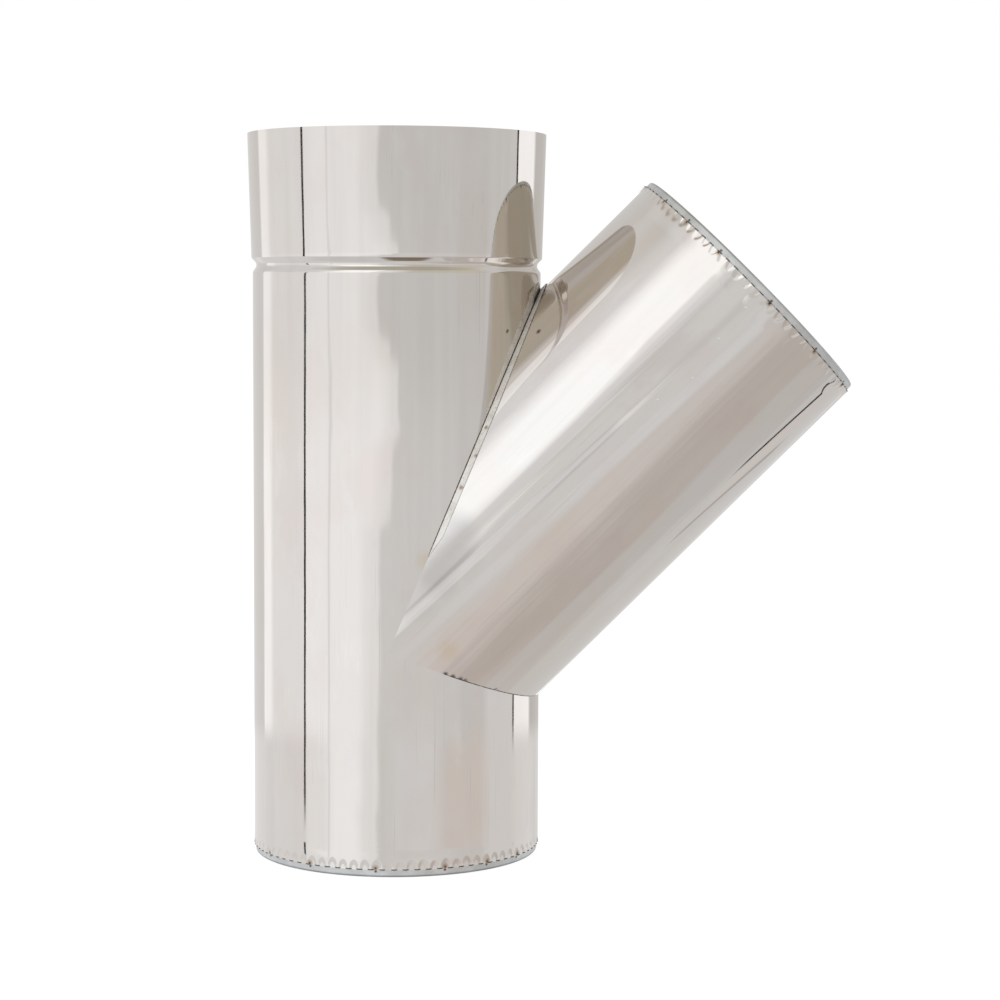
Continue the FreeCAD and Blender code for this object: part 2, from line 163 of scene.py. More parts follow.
class Graph:
    """The nodes of one material or of the world."""

    def __init__(self, tree: bpy.types.NodeTree) -> None:
        """Starts from an empty tree."""
        self.tree = tree
        tree.nodes.clear()

    def node(self, kind: str, inputs: dict | None = None, **settings: object) -> bpy.types.Node:
        """Adds one node.

        Args:
            kind: the node's type.
            inputs: a value or a signal for each socket, by name or number.
            settings: the node's own settings, set first; stops fills a ramp.

        Returns:
            The new node.
        """
        made = self.tree.nodes.new(kind)
        for name, setting in settings.items():
            if name == "stops":
                self._fill_ramp(made.color_ramp, setting)
            else:
                setattr(made, name, setting)
        for name, value in (inputs or {}).items():
            if isinstance(value, Signal):
                self.tree.links.new(value.socket, made.inputs[name])
            else:
                made.inputs[name].default_value = value
        return made

    @staticmethod
    def _fill_ramp(ramp: bpy.types.ColorRamp, stops: list) -> None:
        """Gives a ramp its stops.

        Args:
            ramp: the ramp, with its first two stops.
            stops: positions with their colours, in rising order.
        """
        while len(ramp.elements) < len(stops):
            ramp.elements.new(1.0)
        for element, (position, _) in zip(ramp.elements, stops):
            element.position = position
        for element, (_, colour) in zip(ramp.elements, stops):
            element.color = (*colour, 1.0)

    def out(self, kind: str, inputs: dict | None = None, output: int | str = 0, **settings: object) -> Signal:
        """Adds one node, as node() does, and returns one of its outputs as a signal."""
        return Signal(self, self.node(kind, inputs, **settings).outputs[output])

    def blend(self, factor: "float | Signal", first: "Triple | Signal", second: "Triple | Signal") -> Signal:
        """A colour that goes from the first to the second as the factor rises.

        Args:
            factor: 0 for the first colour, 1 for the second.
            first: a colour or a signal.
            second: a colour or a signal.

        Returns:
            The mixed colour.
        """
        pair = [c if isinstance(c, Signal) else (*c, 1.0) for c in (first, second)]
        inputs = {0: factor, 6: pair[0], 7: pair[1]}
        return self.out("ShaderNodeMix", inputs, output=2, data_type="RGBA")

    def place(self, origin: Triple = (0.0, 0.0, 0.0), lean: float = 0.0) -> Signal:
        """Object coordinates of a frame of their own.

        Args:
            origin: the frame's origin, in metres.
            lean: how far its axis leans towards +X.

        Returns:
            The coordinates in metres.
        """
        inputs = {
            "Vector": self.out("ShaderNodeTexCoord", output="Object"),
            "Location": origin,
            "Rotation": (0.0, lean, 0.0),
        }
        return self.out("ShaderNodeMapping", inputs, vector_type="TEXTURE")

    def parts(self, vector: Signal) -> tuple[Signal, Signal, Signal]:
        """The three coordinates of a vector."""
        made = self.node("ShaderNodeSeparateXYZ", {0: vector})
        return tuple(Signal(self, made.outputs[index]) for index in range(3))

    def noise(self, place: Signal, grain: Grain) -> Signal:
        """Noise of unit scale on a place that is stretched first.

        Args:
            place: the coordinates in metres.
            grain: its pattern.

        Returns:
            A signal round 0.5.
        """
        scaled = self.out("ShaderNodeVectorMath", {0: place, 1: grain.stretch}, operation="MULTIPLY")
        inputs = {"Vector": scaled, "Scale": 1.0, "Detail": grain.detail, "Roughness": grain.rough}
        return self.out("ShaderNodeTexNoise", inputs)

    def spots(self, place: Signal, points: tuple[Triple, ...], radius: float) -> Signal:
        """Soft round spots: 1 at each of the points and 0 beyond the radius.

        Args:
            place: the coordinates in metres.
            points: the spots' middles, in millimetres.
            radius: how far a spot reaches, in millimetres.

        Returns:
            The largest of the spots as one signal.
        """
        total: Signal | None = None
        for point in points:
            middle = tuple(c * MM for c in point)
            inputs = {0: place, 1: middle}
            away = self.out("ShaderNodeVectorMath", inputs, output="Value", operation="DISTANCE")
            spot = away.fade(radius * MM, radius * MM * 0.15)
            total = spot if total is None else total.larger(spot)
        return total

    def beyond(self, place: Signal, point: Vector, direction: Vector) -> Signal:
        """How far a place lies beyond a plane.

        Args:
            place: the coordinates in metres.
            point: a point of the plane.
            direction: the plane's direction.

        Returns:
            The distance in metres.
        """
        inputs = {0: place, 1: tuple(direction)}
        along = self.out("ShaderNodeVectorMath", inputs, output="Value", operation="DOT_PRODUCT")
        return along - point.dot(direction)

    def relief(self, height: Signal, distance: float, under: Signal | None = None) -> Signal:
        """A Bump node.

        Args:
            height: the bumps, from 0 to 1.
            distance: how high they are, in millimetres.
            under: the normal that they lie on, if it isn't the mesh's own.

        Returns:
            The new normal.
        """
        inputs = {"Height": height, "Distance": distance * MM, "Strength": 1.0}
        if under is not None:
            inputs["Normal"] = under
        return self.out("ShaderNodeBump", inputs, output="Normal")

    def surface(self, shader: Signal, output: str = "ShaderNodeOutputMaterial") -> None:
        """Ends the graph in its output node."""
        self.node(output, {"Surface": shader})


def blank_material(name: str) -> tuple[bpy.types.Material, Graph]:
    """Starts a material.

    Args:
        name: its name.

    Returns:
        The material and its empty graph.
    """
    material = bpy.data.materials.new(name)
    material.use_nodes = True
    return material, Graph(material.node_tree)


@dataclass(frozen=True)
class Axis:
    """Where a tube's own frame stands: its origin in millimetres and its lean towards +X."""

    origin: Triple = (0.0, 0.0, 0.0)
    lean: float = 0.0

    def matrix(self, along: float = 0.0, flip: bool = False) -> Matrix:
        """The placement of a piece on this axis.

        Args:
            along: millimetres up the axis from its origin.
            flip: turned end for end about Y.

        Returns:
            A matrix in metres.
        """
        turned = Matrix.Rotation(self.lean, 4, "Y")
        place = Vector(self.origin) * MM + turned @ Vector((0, 0, along * MM))
        if flip:
            turned = Matrix.Rotation(self.lean + math.pi, 4, "Y")
        return Matrix.Translation(place) @ turned

    def metres(self) -> Triple:
        """The origin in metres."""
        return tuple(c * MM for c in self.origin)

    def place(self, graph: Graph) -> Signal:
        """This frame's coordinates in a material, in metres."""
        return graph.place(self.metres(), self.lean)


@dataclass(frozen=True)
class TeeSizes:
    """Sizes that several pieces share, in millimetres."""

    casing_radius: float = 100.0
    casing_wall: float = 0.5
    flue_radius: float = 58.0
    flue_socket_radius: float = 58.65
    flue_wall: float = 0.5
    ring_wall: float = 0.5
    ring_band: float = 5.0
    crossing: float = 152.0
    branch_length: float = 348.0
    half_angle: float = math.radians(22.5)

    def run(self) -> Axis:
        """The run's frame."""
        return Axis()

    def branch(self) -> Axis:
        """The branch's frame, from the axes' crossing."""
        return Axis((0.0, 0.0, self.crossing), 2 * self.half_angle)

    def upper_mitre(self) -> Vector:
        """The upper mitre plane's direction, towards the branch."""
        return Vector((math.cos(self.half_angle), 0, -math.sin(self.half_angle)))

    def lower_mitre(self) -> Vector:
        """The lower mitre plane's direction, upwards."""
        return Vector((math.sin(self.half_angle), 0, math.cos(self.half_angle)))


@dataclass(frozen=True)
class Corner:
    """One corner of a section: radius and height, its bend, and cuts of the line that follows."""

    radius: float
    height: float
    bend: float = 0.0
    cuts: int = 0


def parallel(corners: list[Corner], wall: float) -> list[Corner]:
    """The other face of a sheet, one wall nearer the axis, in reverse order.

    Args:
        corners: the outer face, from its foot up.
        wall: the sheet's thickness.

    Returns:
        The inner face from its top down.
    """
    inner = []
    for index, corner in enumerate(corners):
        sides = []
        for a, b in ((index - 1, index), (index, index + 1)):
            if 0 <= a and b < len(corners):
                run = Vector((corners[b].radius - corners[a].radius, corners[b].height - corners[a].height))
                run.normalize()
                sides.append(Vector((-run.y, run.x)))
        middle = sum(sides, Vector((0, 0))).normalized()
        step = middle * (wall / middle.dot(sides[0]))
        cuts = corners[index - 1].cuts if index else 0
        inner.append(Corner(corner.radius + step.x, corner.height + step.y, corner.bend, cuts))
    return inner[::-1]


def object_from(
    mesh: bmesh.types.BMesh, name: str, materials: list[bpy.types.Material]
) -> bpy.types.Object:
    """Turns a mesh that is being edited into an object of the scene, and frees it.

    Args:
        mesh: the mesh, in metres.
        name: the object's name.
        materials: its materials, the first one for most faces.

    Returns:
        The object at the origin.
    """
    data = bpy.data.meshes.new(name)
    mesh.to_mesh(data)
    mesh.free()
    for material in materials:
        data.materials.append(material)
    made = bpy.data.objects.new(name, data)
    bpy.context.scene.collection.objects.link(made)
    return made


class SheetForm:
    """A mesh that is turned from a section and then pressed, cut and placed."""

    def __init__(self) -> None:
        """Starts an empty mesh."""
        self.mesh = bmesh.new()

    def section(self, corners: list[Corner], segments: int = 5) -> "SheetForm":
        """Draws a closed section and rounds its bends.

        Args:
            corners: the section's corners in order.
            segments: how many pieces a bend has.

        Returns:
            This form.
        """
        places = [Vector((c.radius * MM, 0, c.height * MM)) for c in corners]
        points = [self.mesh.verts.new(place) for place in places]
        for point, following in zip(points, points[1:] + points[:1]):
            self.mesh.edges.new((point, following))
        for index, corner in enumerate(corners):
            if corner.cuts:
                ends = (places[index], places[(index + 1) % len(places)])
                self._divide(ends, corner.cuts)
        for place, corner in zip(places, corners):
            if corner.bend:
                self._round(self._at(place), corner.bend * MM, segments)
        return self

    def _at(self, place: Vector) -> bmesh.types.BMVert:
        """The section's point at a place."""
        return min(self.mesh.verts, key=lambda point: (point.co - place).length)

    def _divide(self, ends: tuple[Vector, Vector], cuts: int) -> None:
        """Cuts the section's line between two places into equal lengths.

        Args:
            ends: the two places, in metres.
            cuts: how many cuts are made.
        """
        first, last = (self._at(place) for place in ends)
        edge = next(line for line in first.link_edges if line.other_vert(first) == last)
        bmesh.ops.subdivide_edges(self.mesh, edges=[edge], cuts=cuts)

    def _round(self, point: bmesh.types.BMVert, bend: float, segments: int) -> None:
        """Rounds one corner of the section.

        Args:
            point: the corner.
            bend: its radius, in metres.
            segments: how many pieces the bend has.
        """
        ends = [(edge.other_vert(point).co - point.co).normalized() for edge in point.link_edges]
        turn = math.pi - ends[0].angle(ends[1])
        bmesh.ops.bevel(
            self.mesh,
            geom=[point],
            offset=bend * math.tan(turn / 2),
            offset_type="OFFSET",
            segments=segments,
            profile=0.5,
            affect="VERTICES",
            material=-1,
        )

    def spin(self, steps: int = CASING_STEPS) -> "SheetForm":
        """Turns the section all the way round Z, with its faces outwards.

        One sector is spun and then repeated round the axis, because that is much quicker than
        one long spin.

        Args:
            steps: how many sides the tube has.

        Returns:
            This form.
        """
        mesh = self.mesh
        sector = math.tau / SECTORS
        about = {"cent": (0, 0, 0), "axis": (0, 0, 1), "dvec": (0, 0, 0)}
        wire = mesh.verts[:] + mesh.edges[:]
        bmesh.ops.spin(mesh, geom=wire, angle=sector, steps=steps // SECTORS, **about)
        part = mesh.verts[:] + mesh.edges[:] + mesh.faces[:]
        bmesh.ops.spin(
            mesh, geom=part, angle=math.tau - sector, steps=SECTORS - 1, use_duplicate=True, **about
        )
        bmesh.ops.remove_doubles(mesh, verts=mesh.verts, dist=MERGE)
        bmesh.ops.recalc_face_normals(mesh, faces=mesh.faces)
        return self

    def set_in(self, matrix: Matrix) -> "SheetForm":
        """Puts the form where it belongs."""
        bmesh.ops.transform(self.mesh, matrix=matrix, verts=self.mesh.verts)
        return self

    def cut(self, point: Vector, normal: Vector, drop: bool = False) -> list[bmesh.types.BMEdge]:
        """Cuts along a plane.

        Args:
            point: a point of the plane, in metres.
            normal: the plane's direction.
            drop: whether the side that the normal points away from goes.

        Returns:
            The edges on the plane.
        """
        mesh = self.mesh
        geometry = mesh.verts[:] + mesh.edges[:] + mesh.faces[:]
        made = bmesh.ops.bisect_plane(
            mesh,
            geom=geometry,
            plane_co=point,
            plane_no=normal,
            dist=CUT_REACH,
            clear_inner=drop,
        )
        return [part for part in made["geom_cut"] if isinstance(part, bmesh.types.BMEdge)]

    def close_wall(self) -> None:
        """Joins the outer and the inner edge of a cut wall."""
        rim = [edge for edge in self.mesh.edges if edge.is_boundary]
        bmesh.ops.bridge_loops(self.mesh, edges=rim)
        bmesh.ops.recalc_face_normals(self.mesh, faces=self.mesh.faces)

    def open_for_branch(self, sizes: TeeSizes) -> "SheetForm":
        """Takes from a run piece what the branch takes over.

        Args:
            sizes: the tee's sizes, for its mitre planes.

        Returns:
            This form.
        """
        crossing = Vector(sizes.branch().metres())
        planes = (sizes.upper_mitre(), sizes.lower_mitre())
        for normal in planes:
            self.cut(crossing, normal)
        gone = []
        for face in self.mesh.faces:
            middle = face.calc_center_median() - crossing
            if all(middle.dot(normal) > 0 for normal in planes):
                gone.append(face)
        bmesh.ops.delete(self.mesh, geom=gone, context="FACES")
        self.close_wall()
        return self

    def fit_to_run(self, sizes: TeeSizes) -> "SheetForm":
        """Takes from a branch piece what lies on the run's side.

        Args:
            sizes: the tee's sizes, for its mitre planes.

        Returns:
            This form.
        """
        crossing = Vector(sizes.branch().metres())
        for normal in (sizes.upper_mitre(), sizes.lower_mitre()):
            self.cut(crossing, normal, drop=True)
        self.close_wall()
        return self

    def piece(self, name: str, slot: str, materials: list[bpy.types.Material]) -> bpy.types.Object:
        """Makes the finished object and lets it ride on the tee.

        Args:
            name: the piece's name.
            slot: the record's material slot, which is not used.
            materials: its materials, the first one for most faces.

        Returns:
            The object at the origin.
        """
        made = object_from(self.mesh, name, materials)
        made.data.shade_smooth()
        made.data.set_sharp_from_angle(angle=CREASE)
        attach(made, "root")
        LOG.info("%s: %d faces", name, len(made.data.polygons))
        return made


def ring_points(angles: tuple[float, ...], radius: float, height: float) -> tuple[Triple, ...]:
    """Points round an axis, their angles in degrees from the front, towards +X."""
    turned = [math.radians(angle) for angle in angles]
    return tuple((radius * math.sin(a), -radius * math.cos(a), height) for a in turned)


def scatter(index: int, salt: float) -> float:
    """A fixed pseudo-random number from 0 to 1 for a numbered item."""
    return math.sin(index * 12.9898 + salt * 78.233) * 43758.5453 % 1.0


def clamped(value: float) -> float:
    """The value, held between 0 and 1."""
    return min(max(value, 0.0), 1.0)


class Welds(Enum):
    """Spot welds round each casing's end, in degrees from the front on its own axis."""

    RUN = (-57.7, -32.8, -4.9, 22.4, 41.3, 59.5, 87, 114, 143, 171, -161, -134, -108, -83)
    BRANCH = (-56.9, -39.6, -20.4, 7.1, 35.0, 64.5, 92, 121, 148, 176, -156, -130, -105, -81)


@dataclass(frozen=True)
class SeamShadeLine:
    """A thin dark line of painted shade in the gap where two sheets meet, in millimetres but for its plane in
    metres.

    Attributes:
        point: a point of the plane that it follows.
        direction: the plane's direction.
        middle: how far beyond the plane its middle lies.
        half_width: half its width.
        start: how far out from the run's axis it starts.
        weaker: how far out it gets weaker.
        soft: over what length it starts.
        ragged: how far noise moves its sides.
    """

    point: Vector
    direction: Vector
    middle: float
    half_width: float
    start: float
    weaker: float = 200.0
    soft: float = 6.0
    ragged: float = 0.9

    def mask(self, graph: Graph, rough: Signal) -> Signal:
        """The line as a signal.

        Args:
            graph: the material's graph.
            rough: noise that makes the line uneven.

        Returns:
            1 on the line and 0 away from it.
        """
        place = graph.place()
        away = (graph.beyond(place, self.point, self.direction) - self.middle * MM).size()
        away = away + (rough - 0.5) * (self.ragged * MM)
        line = away.fade(self.half_width * MM, self.half_width * MM * 0.4)
        across = graph.parts(place)[0]
        line = line * (1 - across.fade(self.weaker * MM, (self.weaker + 8) * MM) * 0.5)
        line = line * across.fade(self.start * MM, (self.start + self.soft) * MM)
        return line * (rough.fade(0.38, 0.56) * 0.5 + 0.5)


@dataclass(frozen=True)
class Marks:
    """Soft round marks of one kind on a sheet; some kinds are real marks and some are patches of painted
    shade.

    Attributes:
        points: their middles on the tube's own axis, in millimetres.
        reach: how far a mark reaches, in millimetres.
        colour: their colour.
        depth: how strongly they show, from 0 to 1.
        broken: how much noise breaks them up, from 0 to 1.
        dull: how much they roughen the sheet, from 0 to 1.
    """

    points: tuple[Triple, ...]
    reach: float
    colour: Triple
    depth: float
    broken: float = 0.0
    dull: float = 0.0


@dataclass(frozen=True)
class PaintedReflectionBand:
    """A faint band of painted reflection along a tube; some bands are lighter than the sheet and some darker.

    Attributes:
        turn: its angle from the front at its level, in degrees.
        half: half its width, in degrees.
        colour: its colour.
        foot: where it starts along the axis, in millimetres.
        head: where it ends along the axis, in millimetres.
        lean: how far it turns for each millimetre, in degrees.
        level: the height where its angle is turn, in millimetres.
        soft: half the length over which it starts and ends, in millimetres.
    """

    turn: float
    half: float
    colour: Triple
    foot: float
    head: float
    lean: float = 0.0
    level: float = 110.0
    soft: float = 12.0

    def mask(self, turn: Signal, height: Signal) -> Signal:
        """The band as a signal.

        Args:
            turn: the angle from the front, in degrees.
            height: the height along the tube's axis, in metres.

        Returns:
            1 in the band's middle and 0 away from it.
        """
        middle = height * (self.lean / MM) + (self.turn - self.level * self.lean)
        across = (turn - middle).size().fade(self.half, self.half * 0.35)
        foot, head, soft = self.foot * MM, self.head * MM, self.soft * MM
        return across * height.within(foot - soft, foot + soft, head - soft, head + soft)


class Finish:
    """A material made of nodes; each kind says what feeds its shader."""

    def feeds(self, graph: Graph) -> dict:
        """What each of the shader's sockets gets, by its name."""
        raise NotImplementedError

    def make(self, name: str) -> bpy.types.Material:
        """Builds the finish.

        Args:
            name: the material's name.

        Returns:
            The material.
        """
        material, graph = blank_material(name)
        graph.surface(graph.out("ShaderNodeBsdfPrincipled", self.feeds(graph)))
        return material


@dataclass(frozen=True)
class PolishedSteel(Finish):
    """Mirror-polished stainless sheet, faintly wavy, with spot welds and their heat tint.

    The last millimetre of a casing's end has a dark dash of painted shade between each two crimps, where the
    gap under its flared edge lies.

    Attributes:
        axis: the tube's axis.
        edge: the height of the casing's end on that axis, in millimetres.
        inward: 1 or -1, the way from the end into the tube.
        welds: the spot welds' middles.
        seam: the line of painted shade in the gap along a seam.
        marks: its other marks, some of them patches of painted shade.
        bands: the faint bands of painted reflection along it.
        open_edge: how far the painted shade dashes run together, from 0 to 1.
        crimps: how many crimps its end has.
        weld_reach: how far a weld's heat tint reaches, in millimetres.
        weld_core: how far its oxidised middle reaches, in millimetres.
        buckled: where the end's buckling starts and is full, in millimetres from the end.
    """

    axis: Axis
    edge: float
    inward: float
    welds: tuple[Triple, ...]
    seam: SeamShadeLine
    marks: tuple[Marks, ...] = ()
    bands: tuple[PaintedReflectionBand, ...] = ()
    open_edge: float = 0.0
    crimps: int = 80
    weld_reach: float = 3.2
    weld_core: float = 1.3
    buckled: tuple[float, float] = (16.0, 3.0)
    colour: Triple = (0.75, 0.73, 0.71)
    warm: Triple = (0.74, 0.695, 0.655)
    smeared: Triple = (0.70, 0.675, 0.65)
    gleaming: Triple = (0.80, 0.79, 0.775)
    streaked: Triple = (0.705, 0.685, 0.665)
    blushed: Triple = (0.73, 0.665, 0.65)
    scratched: Triple = (0.50, 0.48, 0.46)
    heat: Triple = (0.34, 0.20, 0.08)
    # The weld cores' burnt colour, also the colour of the painted gap shade.
    oxide_and_shade: Triple = (0.06, 0.042, 0.028)
    clouds: Grain = Grain((9, 9, 6), 4, 0.6)
    smears: Grain = Grain((34, 34, 9), 6, 0.68)
    streaks: Grain = Grain((60, 60, 1.8), 3, 0.6)
    blush: Grain = Grain((26, 26, 15), 5, 0.62)
    flecks: Grain = Grain((260, 260, 260))
    brushing: Grain = Grain((900, 900, 11), 2)
    scratches: Grain = Grain((1100, 1100, 9), 1)
    worn: Grain = Grain((16, 16, 9), 2)
    waves: Grain = Grain((7, 7, 5), 1)
    ripples: Grain = Grain((24, 24, 12), 2)
    buckles: Grain = Grain((30, 30, 24), 2)

    def _gap_shade_dashes(self, graph: Graph, own: Signal, rough: Signal) -> Signal:
        """The dashes of painted shade in the gap along the casing's edge.

        Args:
            graph: the material's graph.
            own: coordinates on the tube's axis.
            rough: noise that makes the dashes uneven.

        Returns:
            1 on a dash and 0 away from it.
        """
        x, y, z = graph.parts(own)
        turn = (y.angle_over(x) * float(self.crimps)).cosine()
        up = (z - self.edge * MM) * self.inward
        between = (turn + (rough - 0.5) * 1.4).fade(0.25, -0.2).larger(self.open_edge)
        return up.fade(0.95 * MM, 0.5 * MM) * between

    def _paint_reflection_bands(self, graph: Graph, own: Signal, streaks: Signal, colour: Signal) -> Signal:
        """Lays the faint bands of painted reflection over the colour.

        Args:
            graph: the material's graph.
            own: coordinates on the tube's axis.
            streaks: noise that makes the bands' sides uneven.
            colour: the colour so far.

        Returns:
            The colour with its bands.
        """
        if self.bands:
            x, y, height = graph.parts(own)
            turn = x.angle_over(y * -1.0) * DEGREES + (streaks - 0.5) * 3.0
            for band in self.bands:
                colour = graph.blend(band.mask(turn, height), colour, band.colour)
        return colour

    def _paint(self, graph: Graph, own: Signal, clouds: Signal, smears: Signal) -> tuple[Signal, Signal]:
        """The colour over the sheet, and the mask of its heat, its dulling marks and its painted gap shade.

        Args:
            graph: the material's graph.
            own: coordinates on the tube's axis.
            clouds: slow noise.
            smears: quicker noise.

        Returns:
            The colour, and the mask of heat, dulling marks and painted gap shade, which roughens the sheet.
        """
        heated = graph.spots(own, self.welds, self.weld_reach)
        burnt = graph.spots(own, self.welds, self.weld_core)
        flecks = graph.noise(own, self.flecks)
        streaks = graph.noise(own, self.streaks)
        blush = graph.noise(own, self.blush)
        colour = graph.blend(clouds.fade(0.40, 0.66), self.colour, self.warm)
        colour = graph.blend(smears.fade(0.5, 0.8) * 0.5, colour, self.smeared)
        colour = graph.blend(smears.fade(0.44, 0.30) * 0.5, colour, self.gleaming)
        colour = graph.blend(streaks.fade(0.46, 0.70) * 0.8, colour, self.streaked)
        colour = self._paint_reflection_bands(graph, own, streaks, colour)
        colour = graph.blend(blush.fade(0.50, 0.68) * 0.45, colour, self.blushed)
        colour = graph.blend(heated * 0.7, colour, self.heat)
        colour = graph.blend(burnt, colour, self.oxide_and_shade)
        # Painted shade: dark dashes in the gap at the casing's end, and a dark line in the seam's gap.
        dark = self._gap_shade_dashes(graph, own, flecks).larger(self.seam.mask(graph, flecks))
        colour = graph.blend(dark * 0.92, colour, self.oxide_and_shade)
        for marks in self.marks:
            mask = graph.spots(own, marks.points, marks.reach)
            mask = mask * (1 - marks.broken * (1 - flecks.fade(0.30, 0.5)))
            colour = graph.blend(mask * marks.depth, colour, marks.colour)
            heated = heated.larger(mask * marks.dull)
        return colour, heated.larger(dark)

    def feeds(self, graph: Graph) -> dict:
        """The sheet's colour, gloss and waves.

        Args:
            graph: the material's graph.

        Returns:
            A value or a signal for each socket.
        """
        own = self.axis.place(graph)
        clouds = graph.noise(own, self.clouds)
        smears = graph.noise(own, self.smears)
        brushing = graph.noise(own, self.brushing)
        scratches = graph.noise(own, self.scratches).fade(0.66, 0.74)
        scratches = scratches * graph.noise(own, self.worn).fade(0.50, 0.60)
        colour, heated = self._paint(graph, own, clouds, smears)
        roughness = clouds * 0.04 + smears * 0.06 + brushing * 0.015 + heated * 0.22 + scratches * 0.1
        height = (graph.parts(own)[2] - self.edge * MM) * self.inward
        near_end = height.fade(self.buckled[0] * MM, self.buckled[1] * MM)
        normal = None
        for bumps, depth in (
            (graph.noise(own, self.waves), 0.28),
            (graph.noise(own, self.ripples), 0.09),
            (graph.noise(own, self.buckles) * near_end, 0.6),
            (smears, 0.01),
            (brushing, 0.0014),
            (heated, -0.1),
        ):
            normal = graph.relief(bumps, depth, normal)
        return {
            "Base Color": graph.blend(scratches * 0.3, colour, self.scratched),
            "Roughness": roughness - 0.012,
            "Metallic": 1.0,
            "Normal": normal,
        }


@dataclass(frozen=True)
class GroundSteel(Finish):
    """The folded lip's pale, dull face, with small pits and the dimples of its spot welds."""

    axis: Axis
    welds: tuple[Triple, ...]
    weld_reach: float = 2.3
    colour: Triple = (0.80, 0.78, 0.75)
    patched: Triple = (0.66, 0.63, 0.59)
    pitted: Triple = (0.24, 0.20, 0.17)
    burnt: Triple = (0.23, 0.14, 0.085)
    patches: Grain = Grain((150, 150, 90), 4, 0.7)
    pits: Grain = Grain((620, 620, 620), 2)

    def feeds(self, graph: Graph) -> dict:
        """The lip's colour, gloss and dimples.

        Args:
            graph: the material's graph.

        Returns:
            A value or a signal for each socket.
        """
        own = self.axis.place(graph)
        patches = graph.noise(own, self.patches)
        pits = graph.noise(own, self.pits)
        dimples = graph.spots(own, self.welds, self.weld_reach)
        colour = graph.blend(patches.fade(0.35, 0.7), self.colour, self.patched)
        colour = graph.blend(pits.fade(0.62, 0.74) * 0.55, colour, self.pitted)
        colour = graph.blend(dimples * pits.fade(0.3, 0.5) * 0.75, colour, self.burnt)
        return {
            "Base Color": colour,
            "Roughness": patches * 0.25 + 0.32,
            "Metallic": 0.45,
            "Normal": graph.relief(dimples, -0.3, graph.relief(patches, 0.3)),
        }


@dataclass(frozen=True)
class CutOxideAndShade(Finish):
    """Brownish oxidised metal of a sheet's cut edge, kept dark also as painted shade for the gap at the seam
    and under the lip.
    """

    colour: Triple = (0.30, 0.27, 0.215)
    flecked: Triple = (0.24, 0.19, 0.14)
    flecks: Grain = Grain((260, 260, 260), 4, 0.7)

    def feeds(self, graph: Graph) -> dict:
        """The oxide's colour, gloss and grit.

        Args:
            graph: the material's graph.

        Returns:
            A value or a signal for each socket.
        """
        flecks = graph.noise(graph.place(), self.flecks)
        return {
            "Base Color": graph.blend(flecks.fade(0.45, 0.75), self.colour, self.flecked),
            "Roughness": flecks * 0.4 + 0.45,
            "Metallic": 0.3,
            "Normal": graph.relief(flecks, 0.1),
        }


@dataclass(frozen=True)
class GalvanisedSheet(Finish):
    """Dull bluish galvanised sheet with soft blotches, darker where it is welded, with painted shade along
    its outer bend.

    Attributes:
        axis: the tube's axis that the ring sits on.
        face: the height of the ring's face on that axis, in millimetres.
        inward: 1 or -1, the way from the face into the ring.
        welds: the weld marks' middles.
        shade: how dark the painted shade along the outer bend is.
        weld_reach: how far a weld mark reaches, in millimetres.
        bend_start: the radius where the outer bend starts, in millimetres.
        bend_full: the radius where it is full, in millimetres.
        spangles: zinc leaves for each metre.
    """

    axis: Axis
    face: float
    inward: float
    welds: tuple[Triple, ...]
    shade: float = 0.3
    weld_reach: float = 1.5
    bend_start: float = 95.3939
    bend_full: float = 97.4679
    spangles: float = 170.0
    colour: Triple = (0.63, 0.65, 0.66)
    pale: Triple = (0.74, 0.76, 0.77)
    leaden: Triple = (0.53, 0.555, 0.57)
    welded: Triple = (0.05, 0.045, 0.04)
    bend_shadow: Triple = (0.12, 0.12, 0.12)
    blotches: Grain = Grain((60, 60, 60), 3, 0.6)
    dust: Grain = Grain((420, 420, 420), 2)

    def feeds(self, graph: Graph) -> dict:
        """The zinc's colour, gloss and unevenness.

        Args:
            graph: the material's graph.

        Returns:
            A value or a signal for each socket.
        """
        own = self.axis.place(graph)
        blotches = graph.noise(own, self.blotches)
        inputs = {"Vector": own, "Scale": self.spangles}
        spangle = graph.out("ShaderNodeTexVoronoi", inputs, output="Color", feature="F1")
        leaf = graph.parts(spangle)[0]
        marked = graph.spots(own, self.welds, self.weld_reach)
        x, y, z = graph.parts(own)
        ends = (self.bend_start * MM) ** 2, (self.bend_full * MM) ** 2
        outer = (x * x + y * y).fade(*ends)
        # Painted shade along the ring's outer bend, next to its face.
        bent = ((z - self.face * MM) * self.inward).fade(2.1 * MM, 0.6 * MM) * outer
        colour = graph.blend(blotches.fade(0.35, 0.7), self.colour, self.pale)
        colour = graph.blend(leaf * 0.28, colour, self.leaden)
        colour = graph.blend(marked * 0.9, colour, self.welded)
        return {
            "Base Color": graph.blend(bent * self.shade, colour, self.bend_shadow),
            "Roughness": blotches * 0.18 + leaf * 0.08 + 0.34,
            "Metallic": 0.94,
            "Normal": graph.relief(graph.noise(own, self.dust), 0.03, graph.relief(blotches, 0.2)),
        }


@dataclass(frozen=True)
class MillSteel(Finish):
    """Plain rolled stainless sheet of the inner flue, with its grain round the tube."""

    axis: Axis
    colour: Triple = (0.62, 0.61, 0.60)
    clouded: Triple = (0.54, 0.525, 0.50)
    clouds: Grain = Grain((14, 14, 10), 4, 0.6)
    rolling: Grain = Grain((18, 18, 1400), 2)

    def feeds(self, graph: Graph) -> dict:
        """The flue's colour, gloss and grain.

        Args:
            graph: the material's graph.

        Returns:
            A value or a signal for each socket.
        """
        own = self.axis.place(graph)
        clouds = graph.noise(own, self.clouds)
        rolling = graph.noise(own, self.rolling)
        return {
            "Base Color": graph.blend(clouds.fade(0.4, 0.65), self.colour, self.clouded),
            "Roughness": clouds * 0.12 + rolling * 0.08 + 0.16,
            "Metallic": 1.0,
            "Normal": graph.relief(rolling, 0.004, graph.relief(clouds, 0.2)),
        }


